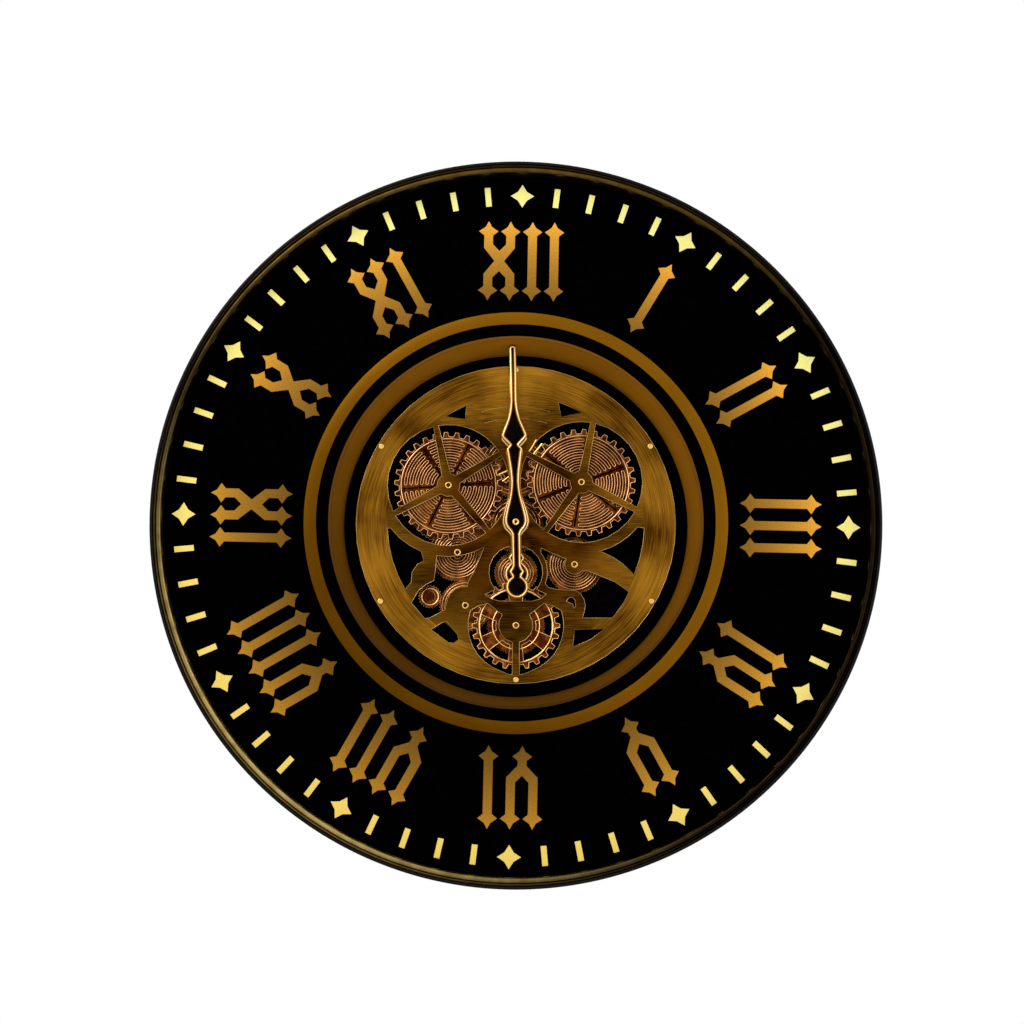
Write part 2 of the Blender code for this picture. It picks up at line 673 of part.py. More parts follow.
def make_plates(paint):
    """The front plate with its screws, the pillars, the back plate with its studs, and the fixed ring."""
    pivots = [straight(circle(gear.centre, PIVOT_R + FIT, HUB_FACETS), PLATE_FACE, PLATE_BACK)
              for gear in PLATE_PIVOTS]
    holes = [straight(circle(spot, PLATE_SCREW_R + FIT, PIN_FACETS), PLATE_FACE, PLATE_BACK)
             for spot in plate_screw_spots()]
    windows = [straight(loop, PLATE_FACE, PLATE_BACK) for loop in plate_openings()]
    bush = straight(circle((0, 0), BUSH_R + RUN, HUB_FACETS), PLATE_FACE, PLATE_BACK)
    piece("front_plate", paint["plate_brass"],
          turned((0, 0), [(PLATE_R, PLATE_FACE), (PLATE_R, PLATE_BACK)], RING_FACETS),
          through=pivots + holes + windows + [bush])
    head_back = PLATE_FACE + FIT
    alike("plate_screw", paint["screw_brass"], plate_screw_spots(),
          [(PLATE_SCREW_HEAD * 0.8, head_back + PLATE_SCREW_R), (PLATE_SCREW_HEAD, head_back + 0.0006),
           (PLATE_SCREW_HEAD, head_back), (PLATE_SCREW_R, head_back),
           (PLATE_SCREW_R, PAN_LAND_FACE - PAN_WALL)])
    foot = BACK_PLATE_FACE + FIT
    alike("plate_pillar", paint["arbor_steel"], pillar_spots(),
          [(PILLAR_R, PLATE_BACK - FIT), (PILLAR_R, foot), (SPIGOT_R, foot), (SPIGOT_R, BACK_PLATE_BACK)])
    spots = ([(gear.centre, PIVOT_R + FIT) for gear in PLATE_PIVOTS]
             + [(spot, SPIGOT_R + FIT) for spot in pillar_spots()]
             + [(DRIVER.centre, ARBOR_R + RUN), ((0, 0), BUSH_R + RUN)])
    head_foot = FINE_FACE + RUN
    studs = [turned(gear.centre, [(STUD_R, BACK_PLATE_FACE), (STUD_R, head_foot), (STUD_HEAD_R, head_foot),
                                  (STUD_HEAD_R, head_foot + STUD_HEAD_T)], PIN_FACETS) for gear in STUDDED]
    piece("back_plate", paint["panel_black"],
          turned((0, 0), [(BACK_PLATE_R, BACK_PLATE_FACE), (BACK_PLATE_R, BACK_PLATE_BACK)], PAN_FACETS),
          through=[straight(circle(spot, radius, PIN_FACETS), BACK_PLATE_FACE, BACK_PLATE_BACK)
                   for spot, radius in spots],
          on_front=studs)
    centre = (GREAT_LEFT.centre[0] + TOOTHED_RING_OFFSET[0], GREAT_LEFT.centre[1] + TOOTHED_RING_OFFSET[1])
    teeth = pointed_teeth(TOOTHED_RING_TEETH, TOOTHED_RING_R)
    piece("toothed_ring", paint["fine_copper"], straight(teeth, TOOTHED_RING_FACE, TOOTHED_RING_BACK),
          through=[straight(circle((0, 0), TOOTHED_RING_BORE, DISC_FACETS), TOOTHED_RING_FACE,
                            TOOTHED_RING_BACK)], centre=centre)


def arbor_nose(face):
    """The turned steps of an arbor in front of a wheel: hub, shoulder and pivot."""
    shoulder = PLATE_BACK - RUN
    end = PLATE_FACE + PIVOT_STAND
    return turned((0, 0), [(HUB_R, face), (ARBOR_R, shoulder), (PIVOT_R, shoulder), (PIVOT_R, end)])


def arbor_tail(back):
    """The turned steps of an arbor behind a wheel: shoulder and pivot."""
    shoulder = BACK_PLATE_FACE + RUN
    return turned((0, 0), [(ARBOR_R, back), (ARBOR_R, shoulder), (PIVOT_R, shoulder),
                           (PIVOT_R, BACK_PLATE_BACK)])


def radial_slot(angle, inner, outer, half):
    """A narrow slot along a radius."""
    along = [(inner, -half), (outer, -half), (outer, half), (inner, half)]
    return [(u * cos(angle) - v * sin(angle), u * sin(angle) + v * cos(angle)) for u, v in along]


def great_wheel(name, paint, gear, first_slot):
    """A wheel of coarse teeth with six radial slots in its face, fixed on its arbor."""
    slots = [radial_slot(radians(first_slot + 60 * i) - gear.turn, SLOT_IN, SLOT_OUT, SLOT_HALF)
             for i in range(6)]
    piece(name, paint["wheel_copper"], straight(gear.coarse_outline(), COARSE_FACE, COARSE_BACK),
          through=[straight(slot, COARSE_FACE, COARSE_BACK) for slot in slots],
          on_front=[arbor_nose(COARSE_FACE)], on_back=[arbor_tail(COARSE_BACK)],
          centre=gear.centre, turn=gear.turn)


def fine_wheel(name, paint, gear):
    """A wheel of pointed teeth on its own arbor."""
    piece(name, paint["fine_copper"], straight(gear.fine_outline(), FINE_FACE, FINE_BACK),
          on_front=[arbor_nose(FINE_FACE)], on_back=[arbor_tail(FINE_BACK)],
          centre=gear.centre, turn=gear.turn)


def loose_wheel(name, paint, gear, bore):
    """A wheel of pointed teeth with a bore, for a stud, an arbor or the bush."""
    piece(name, paint["fine_copper"], straight(gear.fine_outline(), FINE_FACE, FINE_BACK),
          through=[straight(circle((0, 0), bore, HUB_FACETS), FINE_FACE, FINE_BACK)],
          centre=gear.centre, turn=gear.turn)


def make_wheels(paint):
    """All the toothed wheels, in mesh."""
    great_wheel("great_wheel_left", paint, GREAT_LEFT, 4.0)
    great_wheel("great_wheel_right", paint, GREAT_RIGHT, 21.0)
    piece("great_pinion", paint["driver_gold"], straight(PINION.coarse_outline(), COARSE_FACE, COARSE_BACK),
          on_front=[arbor_nose(COARSE_FACE)], on_back=[arbor_tail(COARSE_BACK)],
          centre=PINION.centre, turn=PINION.turn)
    loose_wheel("third_wheel", paint, THIRD, ARBOR_R + FIT)
    loose_wheel("centre_wheel", paint, CENTRE, BUSH_R + RUN)
    loose_wheel("lower_wheel", paint, LOWER, STUD_R + RUN)
    loose_wheel("idler_left", paint, IDLER_LEFT, STUD_R + RUN)
    loose_wheel("idler_right", paint, IDLER_RIGHT, STUD_R + RUN)
    fine_wheel("left_wheel", paint, LEFT)
    fine_wheel("right_wheel", paint, RIGHT)
    fine_wheel("lower_left_wheel", paint, LOWER_LEFT)
    loose_wheel("bottom_fine_wheel", paint, BOTTOM_FINE, ARBOR_R + FIT)
    windows = []
    for i in range(6):
        middle = 60 * i
        windows.append(arc((0, 0), SPOKE_WINDOW_OUT, middle - 18, middle + 18, 4)
                       + arc((0, 0), SPOKE_WINDOW_IN, middle + 13, middle - 13, 3))
    piece("bottom_wheel", paint["wheel_copper"], straight(BOTTOM.coarse_outline(), COARSE_FACE, COARSE_BACK),
          through=[straight(loop, COARSE_FACE, COARSE_BACK) for loop in windows],
          on_front=[arbor_nose(COARSE_FACE)], on_back=[arbor_tail(COARSE_BACK)],
          centre=BOTTOM.centre, turn=BOTTOM.turn)
    shaft = turned((0, 0), [(ARBOR_R, FINE_BACK), (ARBOR_R, QUARTZ_FACE), (PIVOT_R, QUARTZ_FACE),
                            (PIVOT_R, QUARTZ_FACE - 0.0060)])
    piece("motor_pinion", paint["driver_gold"], straight(DRIVER.fine_outline(), FINE_FACE, FINE_BACK),
          on_front=[turned((0, 0), [(HUB_R, FINE_FACE), (HUB_R, FINE_FACE + 0.0016)])], on_back=[shaft],
          centre=DRIVER.centre, turn=DRIVER.turn)


def flowing(points, steps=2):
    """A smooth line through the points, with this many steps from each one to the next."""
    line = []
    for i, (start, end) in enumerate(zip(points, points[1:])):
        near = (points[max(i - 1, 0)], start, end, points[min(i + 2, len(points) - 1)])
        for k in range(steps):
            t = k / steps
            weights = (2 * t * t - t - t ** 3, 2 - 5 * t * t + 3 * t ** 3, t + 4 * t * t - 3 * t ** 3,
                       t ** 3 - t * t)
            line.append(tuple(sum(w * point[j] for w, point in zip(weights, near)) / 2 for j in (0, 1)))
    return line + [points[-1]]


def hand_outline(length, runs, ball):
    """A hand from its tip to its tail: half its outline, then mirrored.

    Each run is a smooth line through (along, half width) points, and ball is (along, radius).
    """
    along, radius = ball
    side = [(length, HAND_TIP_HALF), (length - 0.0013, HAND_HALF)]
    for run in runs:
        side += flowing(run)
    neck = asin(side[-1][1] / radius)
    turns = [neck + (pi - neck) * i / 8.5 for i in range(1, 9)]
    side += [(along + radius * cos(a), radius * sin(a)) for a in turns]
    return [(w, s) for s, w in side] + [(-w, s) for s, w in reversed(side)]


def make_hands(paint):
    """The two hands, their tube and arbor, and the cap."""
    minute = hand_outline(MINUTE_LENGTH, [
        mm((101.6, 1.7), (93.3, 2.5), (85.1, 4.5), (78.9, 7.0), (73.6, 9.1)),
        mm((72.2, 9.4), (70.6, 8.6), (66.0, 4.3), (64.4, 3.0)),
        mm((63.6, 3.2), (60.9, 5.7)),
        mm((58.0, 5.1), (43.8, 3.2), (33.5, 2.5), (23.2, 3.4), (12.9, 5.9), (5.5, 7.7), (0.8, 8.1),
           (-3.4, 6.9), (-6.6, 4.2), (-9.8, 2.6)),
        mm((-35.8, 2.5), (-38.4, 3.5), (-40.8, 5.1), (-43.2, 3.7), (-45.6, 2.9))], (-0.0535, 0.0081))
    hour = hand_outline(HOUR_LENGTH, [
        mm((92.9, 2.0), (84.5, 3.8), (77.8, 6.6), (71.4, 9.2)),
        mm((69.8, 9.6), (68.2, 8.8), (63.6, 4.6), (62.2, 3.4)),
        mm((61.4, 3.6), (59.3, 6.1)),
        mm((56.5, 5.5), (44.5, 3.8), (31.9, 3.0), (22.5, 4.3), (13.0, 7.4), (5.5, 9.4), (0.2, 9.9),
           (-4.6, 8.4), (-8.0, 5.2), (-11.0, 3.2)),
        mm((-24.9, 3.0), (-27.3, 4.0), (-29.5, 5.5), (-31.7, 4.0), (-33.6, 3.3))], (-0.0428, 0.0089))
    piece("minute_hand", paint["hand_black"], straight(minute, MINUTE_FACE, MINUTE_BACK),
          through=[straight(circle((0, 0), MINUTE_ARBOR_R + FIT, HUB_FACETS), MINUTE_FACE, MINUTE_BACK)],
          turn=HANDS_TURN)
    piece("hour_hand", paint["hand_black"], straight(hour, HOUR_FACE, HOUR_BACK),
          through=[straight(circle((0, 0), HOUR_TUBE_R + FIT, HUB_FACETS), HOUR_FACE, HOUR_BACK)],
          turn=HANDS_TURN)
    arbor_top = MINUTE_FACE + FIT + CAP_H * 0.6
    piece("minute_arbor", paint["arbor_steel"],
          turned((0, 0), [(MINUTE_ARBOR_R, arbor_top), (MINUTE_ARBOR_R, QUARTZ_FACE - 0.0030)], PIN_FACETS))
    cap_back = MINUTE_FACE + FIT
    piece("hand_cap", paint["screw_brass"],
          turned((0, 0), [(CAP_R * 0.75, cap_back + CAP_H), (CAP_R, cap_back + CAP_H * 0.75),
                          (CAP_R, cap_back)], 16),
          on_back=[turned((0, 0), [(MINUTE_ARBOR_R + FIT, cap_back), (MINUTE_ARBOR_R + FIT, arbor_top + FIT)],
                          PIN_FACETS)])
    tube_bore = HOUR_TUBE_R - TUBE_WALL
    piece("hour_tube", paint["screw_brass"],
          turned((0, 0), [(HOUR_TUBE_R, HOUR_FACE + FIT), (HOUR_TUBE_R, QUARTZ_FACE + FIT)], 12),
          through=[turned((0, 0), [(tube_bore, HOUR_FACE + FIT), (tube_bore, QUARTZ_FACE + FIT)], 12)])
    bush_top = HOUR_BACK - RUN
    piece("fixing_bush", paint["screw_brass"],
          turned((0, 0), [(BUSH_R, bush_top), (BUSH_R, QUARTZ_FACE + FIT)], 12),
          through=[turned((0, 0), [(BUSH_BORE + 0.00005, bush_top), (BUSH_BORE + 0.00005, QUARTZ_FACE + FIT)],
                          12)])
    nut_back = PLATE_FACE + FIT
    piece("fixing_nut", paint["screw_brass"], straight(circle((0, 0), NUT_R, 6), nut_back + NUT_T, nut_back),
          through=[straight(circle((0, 0), BUSH_R + RUN, 12), nut_back + NUT_T, nut_back)])


def cell_along_x(name, paint, centre, reach):
    """A round cell lying along X, with its raised contact."""
    bm = bmesh.new()
    y = CASE_DEPTH / 2 - reach
    half = CELL_LENGTH / 2
    nub = half - 0.0014
    profile = [(-half, CELL_R), (nub, CELL_R), (nub, CELL_R * 0.38), (half, CELL_R * 0.38)]
    rings = []
    for x, radius in profile:
        rings.append([bm.verts.new((x, y + radius * cos(2 * pi * i / 12), radius * sin(2 * pi * i / 12)))
                      for i in range(12)])
    for first, second in zip(rings, rings[1:]):
        wall(bm, first, second)
    bm.faces.new(rings[0])
    bm.faces.new(rings[-1])
    place(shaded_mesh(bm, name, [paint["cell_jacket"]]), name, centre)


def make_quartz(paint):
    """The movement that turns the hands, its cell and the knob that sets the hands."""
    bay = block((0, QUARTZ_CELL_Z), CELL_LENGTH + CELL_ROOM, 2 * CELL_R + CELL_ROOM)
    arbor_bore = MINUTE_ARBOR_R + RUN
    knob_bore = KNOB_SHAFT_R + RUN
    arbor_hole = turned((0, 0), [(arbor_bore, QUARTZ_FACE), (arbor_bore, QUARTZ_FACE - 0.0034)])
    knob_hole = turned((0, KNOB_Z), [(knob_bore, QUARTZ_BACK), (knob_bore, QUARTZ_BACK + 0.0045)])
    piece("quartz_movement", paint["moulded_black"],
          straight(block((0, 0), QUARTZ_W, QUARTZ_W), QUARTZ_FACE, QUARTZ_BACK),
          on_front=[arbor_hole],
          on_back=[[(bay, QUARTZ_BACK), (bay, QUARTZ_FACE - 0.0008 - FIT)], knob_hole])
    cell_along_x("quartz_cell", paint, (0, QUARTZ_CELL_Z), CELL_REACH)
    face = QUARTZ_BACK - RUN
    steps = [(KNOB_SHAFT_R, QUARTZ_BACK + 0.0040), (KNOB_SHAFT_R, face), (KNOB_R, face),
             (KNOB_R, face - KNOB_T)]
    piece("set_knob", paint["moulded_black"], turned((0, 0), steps, 12), centre=(0, KNOB_Z))


def make_drive(paint):
    """The gear motor, the battery box with its cell and switch, and the leads between them."""
    motor_face = QUARTZ_FACE
    socket = turned((0, 0), [(ARBOR_R + RUN, motor_face), (ARBOR_R + RUN, motor_face - 0.0004),
                             (PIVOT_R + RUN, motor_face - 0.0004), (PIVOT_R + RUN, motor_face - 0.0065)])
    piece("gear_motor", paint["moulded_black"],
          straight(block((0, 0), MOTOR_W, MOTOR_H), motor_face, MOTOR_BACK),
          on_front=[socket], centre=DRIVER.centre)
    box_back = PANEL_T + FIT
    bay_floor = box_back + 2 * CELL_R + 0.0006
    box_face = bay_floor + BOX_FLOOR
    bay = block((BAY_OFFSET, 0), CELL_LENGTH + CELL_ROOM, 2 * CELL_R + CELL_ROOM)
    pocket = block((SWITCH_OFFSET, 0), SWITCH_W + SWITCH_TRAVEL + 2 * RUN, SWITCH_W + 2 * RUN)
    piece("battery_box", paint["moulded_black"], straight(block((0, 0), BOX_W, BOX_H), box_face, box_back),
          on_back=[[(bay, box_back), (bay, bay_floor)],
                   [(pocket, box_back), (pocket, box_back + SWITCH_DEPTH)]], centre=(BOX_X, BOX_Z))
    cell_along_x("gear_cell", paint, (BOX_X + BAY_OFFSET, BOX_Z), bay_floor - FIT - CELL_R)
    key = block((-SWITCH_TRAVEL / 2, 0), SWITCH_W, SWITCH_W)
    piece("gear_switch", paint["lead_red"], straight(key, box_back + SWITCH_DEPTH - FIT, 0.0006),
          centre=(BOX_X + SWITCH_OFFSET, BOX_Z))
    make_leads(paint, box_face)


def make_leads(paint, box_face):
    """The leads from the motor to the battery box, laid along one smooth line."""
    reach = ((QUARTZ_FACE + MOTOR_BACK) / 2 + box_face / 2) / 2
    start = (DRIVER.centre[0], DRIVER.centre[1] - MOTOR_H / 2 - FIT)
    end = (BOX_X + 0.0120, BOX_Z + BOX_H / 2 + FIT)
    drop = (start[1] - end[1]) / 3
    points = []
    for i in range(25):
        t = i / 24
        weights = ((1 - t) ** 3, 3 * t * (1 - t) ** 2, 3 * t * t * (1 - t), t ** 3)
        spots = (start, (start[0], start[1] - drop), (end[0], end[1] + drop), end)
        points.append([sum(w * spot[k] for w, spot in zip(weights, spots)) for k in (0, 1)])
    curve = bpy.data.curves.new("motor_leads", "CURVE")
    curve.dimensions = "3D"
    curve.bevel_depth = LEAD_R
    curve.bevel_resolution = 1
    curve.use_fill_caps = True
    spline = curve.splines.new("POLY")
    spline.points.add(len(points) - 1)
    for point, (x, z) in zip(spline.points, points):
        point.co = (x, CASE_DEPTH / 2 - reach, z, 1)
    curve.materials.append(paint["lead_red"])
    leads = bpy.data.objects.new("motor_leads", curve)
    bpy.context.scene.collection.objects.link(leads)


def keyhole(grow=0.0):
    """The outline of a hole for a screw head with a slot above it."""
    centre = (0, HANGER_Z)
    slot = HANGER_SLOT_HALF + grow
    hole = HANGER_HOLE_R + grow
    side = asin(slot / hole) * 180 / pi
    return arc(centre, hole, 90 + side, 450 - side, 11) + arc((0, HANGER_Z + HANGER_SLOT), slot, 0, 180, 5)


def make_back(paint):
    """The back panel with its screws and posts, and the hanger plate."""
    posts = [polar((0, 0), POST_RING, radians(45 + 360 / POSTS * i)) for i in range(POSTS)]
    screw_hole = [(PANEL_SCREW_R + FIT, PANEL_T), (PANEL_SCREW_R + FIT, PANEL_SCREW_SINK),
                  (PANEL_SCREW_HEAD + FIT, PANEL_SCREW_SINK), (PANEL_SCREW_HEAD + FIT, 0)]
    openings = [turned(spot, screw_hole, PIN_FACETS) for spot in posts]
    openings.append(straight(block((0, 0), QUARTZ_W + 2 * FIT, QUARTZ_W + 2 * FIT), PANEL_T, 0))
    bay = block((BOX_X + BAY_OFFSET, BOX_Z), CELL_LENGTH + CELL_ROOM, 2 * CELL_R + CELL_ROOM)
    openings.append(straight(bay, PANEL_T, 0))
    openings.append(straight(block((BOX_X + SWITCH_OFFSET, BOX_Z), SWITCH_W + SWITCH_TRAVEL + 2 * RUN,
                                   SWITCH_W + 2 * RUN), PANEL_T, 0))
    openings.append(straight(keyhole(FIT), PANEL_T, 0))
    for side in (-1, 1):
        rivet = circle((side * RIVET_X, HANGER_Z), RIVET_R + FIT, PIN_FACETS)
        openings.append(straight(rivet, PANEL_T, 0))
    piece("back_panel", paint["panel_black"],
          turned((0, 0), [(CASE_R - PANEL_INSET, PANEL_T), (CASE_R - PANEL_INSET, 0)], RING_FACETS),
          through=openings)
    foot = PANEL_T + FIT
    bore = PANEL_SCREW_R + FIT
    alike("case_post", paint["zinc_steel"], posts, [(POST_R, DIAL_BACK - FIT), (POST_R, foot)],
          on_back=[turned((0, 0), [(bore, foot), (bore, foot + POST_BORE_DEPTH)], PIN_FACETS)])
    alike("panel_screw", paint["zinc_steel"], posts,
          [(PANEL_SCREW_R, foot + POST_BORE_DEPTH - 0.002), (PANEL_SCREW_R, PANEL_SCREW_SINK - FIT),
           (PANEL_SCREW_HEAD, PANEL_SCREW_SINK - FIT), (PANEL_SCREW_HEAD, 0.0001)])
    plate_face = foot + HANGER_T
    holes = [straight(circle((side * RIVET_X, HANGER_Z), RIVET_R + FIT, PIN_FACETS), plate_face, foot)
             for side in (-1, 1)]
    piece("hanger_plate", paint["zinc_steel"],
          straight(block((0, HANGER_Z + HANGER_SLOT / 2), HANGER_W, HANGER_H), plate_face, foot),
          through=[straight(keyhole(), plate_face, foot)] + holes)
    top = plate_face + FIT
    alike("hanger_rivet", paint["zinc_steel"], [(-RIVET_X, HANGER_Z), (RIVET_X, HANGER_Z)],
          [(RIVET_HEAD, top + 0.0008), (RIVET_HEAD, top), (RIVET_R, top), (RIVET_R, 0.0003)])


def main():
    """Build the clock in an empty scene."""
    for obj in list(bpy.data.objects):
        bpy.data.objects.remove(obj)
    paint = make_finishes()
    make_case(paint)
    make_dial(paint)
    make_sheet(paint)
    make_plates(paint)
    make_wheels(paint)
    make_hands(paint)
    make_quartz(paint)
    make_drive(paint)
    make_back(paint)


main()
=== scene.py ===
"""Looks of a gear wall clock: lacquered case, black dial with gilt numerals, and a sunk movement of engraved wheels."""

import json
import math

import bpy
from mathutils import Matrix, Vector

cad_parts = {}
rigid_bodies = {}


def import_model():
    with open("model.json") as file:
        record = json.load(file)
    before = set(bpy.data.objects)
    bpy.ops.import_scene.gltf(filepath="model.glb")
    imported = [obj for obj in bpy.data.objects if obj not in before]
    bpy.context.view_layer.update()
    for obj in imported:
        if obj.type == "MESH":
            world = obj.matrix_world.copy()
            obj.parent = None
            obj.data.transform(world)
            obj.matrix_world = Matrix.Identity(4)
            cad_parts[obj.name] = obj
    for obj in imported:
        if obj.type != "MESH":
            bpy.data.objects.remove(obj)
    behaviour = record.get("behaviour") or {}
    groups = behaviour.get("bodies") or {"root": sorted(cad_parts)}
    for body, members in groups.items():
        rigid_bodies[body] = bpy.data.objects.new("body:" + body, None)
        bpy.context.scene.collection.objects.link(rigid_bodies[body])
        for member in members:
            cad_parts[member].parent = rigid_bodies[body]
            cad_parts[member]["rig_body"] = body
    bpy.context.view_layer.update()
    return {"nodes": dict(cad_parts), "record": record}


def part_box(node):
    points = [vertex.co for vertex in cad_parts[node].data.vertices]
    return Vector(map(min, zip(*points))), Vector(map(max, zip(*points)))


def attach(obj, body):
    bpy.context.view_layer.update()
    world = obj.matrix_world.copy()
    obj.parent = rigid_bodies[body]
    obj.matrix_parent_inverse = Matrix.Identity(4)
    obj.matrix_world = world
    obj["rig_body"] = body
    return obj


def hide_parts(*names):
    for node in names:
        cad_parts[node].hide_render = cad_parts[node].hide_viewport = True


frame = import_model()

bl_info = {
    "name": "Gear wall clock",
    "version": (1, 0, 0),
    "blender": (4, 5, 0),
    "location": "View3D > Sidebar > Gear clock",
    "description": "Dresses the solids of a gear wall clock",
    "category": "Add Mesh",
}

# Reaches are in millimetres from the wall, so the back of the case is at 0 and its front edge at 70
HALF_DEPTH = 35.0
DIAL_FACE = 51.5
SHEET_FACE = 52.2
TRIM_BACK = 51.8
TRIM_FACE = 52.4
PLATE_FACE = 31.5
COARSE_FACE = 28.2
FINE_FACE = 24.2
TOOTHED_RING_FACE = 21.6
HOUR_FACE = 40.3
MINUTE_FACE = 42.5

# How far engraved fields, engraved rings and short bars stand in front of the face they are on, in millimetres
FIELD_LIFT = 0.05
RING_LIFT = 0.02
BAR_LIFT = 0.3

# Radii from the hand axis in millimetres, for the pieces that are turned
DIAL_RADIUS = 294.5
LEDGE_RADIUS = 288.0
SHEET_INSIDE = 174.0
WELL_RADIUS = 152.3

# Radii from the hand axis in metres, for what is picked or shaded by its place
PLATE_RIM = 0.1064
NUMERAL_INNER = 0.2125
NUMERAL_OUTER = 0.250
NUMERAL_BAND = (0.176, 0.256)
MARK_BAND = (0.256, 0.286)
BEAD_FLANK = (0.2912, 0.2928)
BROWN_PLATE = (0.058, 0.116)

# Great wheel nodes, and the angle in degrees at which their first engraved field starts
GREAT_WHEELS = (("great_wheel_left", 4.0), ("great_wheel_right", 21.0))

# Engraved fields round a great wheel, the loops in each, and the inner radius of the first loop in millimetres
FIELDS = 6
LOOPS = 6
FIRST_LOOP = 12.25

# Half the gap between two fields in millimetres: at the wheel's axis, and what each millimetre of radius adds
FIELD_GAP = 1.0
FIELD_GAP_GROWTH = 0.055

# Radii and widths of engraved rings, and radii inside which edges get no line, in millimetres
GREAT_RING = 39.4
GREAT_BARE = 40.0
BOTTOM_RINGS = (30.4, 19.4)
CENTRE_BARE = 8.0
PIVOT_BARE = 2.5
RING_WIDTH = 1.0
FINE_RING_WIDTH = 0.7

# Fine wheel nodes, and the radii of the rings engraved on them in millimetres
FINE_WHEELS = (
    ("centre_wheel", (14.5, 17.2, 19.9)),
    ("third_wheel", (20.6, 23.4)),
    ("lower_wheel", (5.6, 9.8, 12.0, 14.3)),
    ("idler_left", (5.4, 7.0)),
    ("idler_right", (4.4,)),
    ("left_wheel", (7.0, 9.2, 11.4, 13.6, 15.8, 18.0, 20.2)),
    ("right_wheel", (7.0, 9.2, 11.4, 13.6, 15.8, 18.0, 20.2)),
    ("lower_left_wheel", (4.2, 6.4, 14.8, 17.0, 19.2)),
    ("bottom_fine_wheel", (19.4,)),
    ("motor_pinion", (2.8, 6.9)),
)

# Nodes whose arbors come through the front plate
PIVOTS = (
    "great_wheel_left",
    "great_wheel_right",
    "great_pinion",
    "left_wheel",
    "right_wheel",
    "lower_left_wheel",
    "bottom_wheel",
)

# Both ends of each short polished bar, across and up in millimetres, then its width and depth in metres
PLATE_BARS = (((11.1, 60.5), (17.0, 70.0)), ((14.6, 58.1), (22.0, 67.0)))
PINION_BARS = (((-14.4, 41.2), (-6.1, 45.0)), ((-11.1, 35.6), (-5.2, 39.8)))
BAR_WIDTH = 0.0019
BAR_DEPTH = 0.0006

# Arcs on the top plaque: radii in millimetres, start and span in degrees, width in metres
ARC_RADII = (98.0, 88.0)
ARC_START = 73
ARC_SPAN = 34
ARC_STEPS = 24
ARC_WIDTH = 0.0004

# Name, place and size of each light in metres, and its power in watts
LIGHTS = (
    ("key_light", (-1.4, -2.0, 1.5), 1.4, 38),
    ("fill_light", (1.7, -1.7, 0.3), 1.6, 14),
    ("back_light", (0.6, 2.0, 1.4), 1.6, 26),
)
WORLD_STRENGTH = 0.45
FLOOR_SIZE = 5.6
FLOOR_LEVEL = -0.85

# The camera looks up at the clock: where it stands, in degrees and metres, what it aims at, and its lens
CAMERA_AZIMUTH = 0.1366
CAMERA_ELEVATION = -6.8057
CAMERA_DISTANCE = 1.7945
CAMERA_AIM = (-0.0031, -0.0165, 0.0073)
CAMERA_LENS = 77.06
CAMERA_SENSOR = 36


def linear(code):
    """The linear values of an sRGB hex colour."""
    parts = [int(code[i : i + 2], 16) / 255 for i in (1, 3, 5)]
    return [c / 12.92 if c <= 0.04045 else ((c + 0.055) / 1.055) ** 2.4 for c in parts]


def tint(name, description, code):
    """A colour that a user can change."""
    return bpy.props.FloatVectorProperty(
        name=name, description=description, default=linear(code), subtype="COLOR", size=3, min=0, max=1
    )


def length(name, description, metres):
    """A size that a user can change."""
    return bpy.props.FloatProperty(name=name, description=description, default=metres, unit="LENGTH", min=0)


class ClockSizes(bpy.types.PropertyGroup):
    """Sizes of what the looks add to the solids."""

    edge_line: length("Edge line", "Width of the bright line round each wheel", 0.0008)
    plate_line: length("Plate line", "Width of the bright line round the openings of the plate", 0.0005)
    hand_line: length("Hand line", "Width of the bright line round each hand", 0.0014)
    hand_bevel: length("Hand bevel", "Depth of the gold bevel round each hand", 0.0008)
    engraved_line: length("Engraved line", "Width of the lines on the great wheels", 0.0007)
    engraved_pitch: length("Engraving pitch", "Distance from one line to the next on the great wheels", 0.00223)
    brush_pitch: length("Brush marks", "Distance from one brush mark to the next", 0.0007)


class ClockColours(bpy.types.PropertyGroup):
    """Colours of the finishes."""

    lacquer: tint("Lacquer", "Black lacquer of the case", "#050404")
    # The pale bronze and the top bronze are painted highlights on the bezel; the shade bronze is its dark metal
    bronze: tint("Bronze", "Rubbed bronze of the bezel", "#b19a5e")
    bronze_deep: tint("Bronze shade", "Unrubbed bronze of the bezel", "#1a1208")
    bronze_top_highlight: tint("Bronze, top", "Bronze at the top of the bezel", "#5e4a20")
    enamel: tint("Enamel", "Black enamel of the dial", "#010101")
    # The lit and shaded gilt colours are painted light and painted shade across the dial, lit from the upper right
    gilt_painted_lit: tint("Numeral gilt", "Numerals at the upper right of the dial", "#b48028")
    gilt_painted_shade: tint("Numeral gilt, low", "Numerals at the lower left of the dial", "#896019")
    mark_painted_lit: tint("Mark gilt", "Hour and minute marks at the top of the dial", "#fbf293")
    mark_painted_shade: tint("Mark gilt, low", "Hour and minute marks at the bottom of the dial", "#fbdb6b")
    # The lit and shaded ring colours are painted light at the upper right and painted shade at the lower left
    ring_painted_lit: tint("Ring brass", "Rings of the dial at the upper right", "#7f530b")
    ring_painted_shade: tint("Ring brass, low", "Rings of the dial at the lower left", "#5f3b04")
    plate_deep: tint("Plate brass, deep", "Shade in the brush marks of the plate", "#402302")
    plate_pale: tint("Plate brass, pale", "Light in the brush marks of the plate", "#a06e1c")
    funnel: tint("Gold paint", "Wall that goes down from the dial to the movement", "#a86c0b")
    wheel: tint("Wheel copper", "Faces of the wheels", "#461807")
    wheel_pale: tint("Wheel copper, pale", "Worn patches on the wheels", "#a85f1b")
    line: tint("Engraved line", "Lines cut through to bright metal", "#eab076")
    edge: tint("Bright edge", "Polished edges and screws", "#f2c76c")


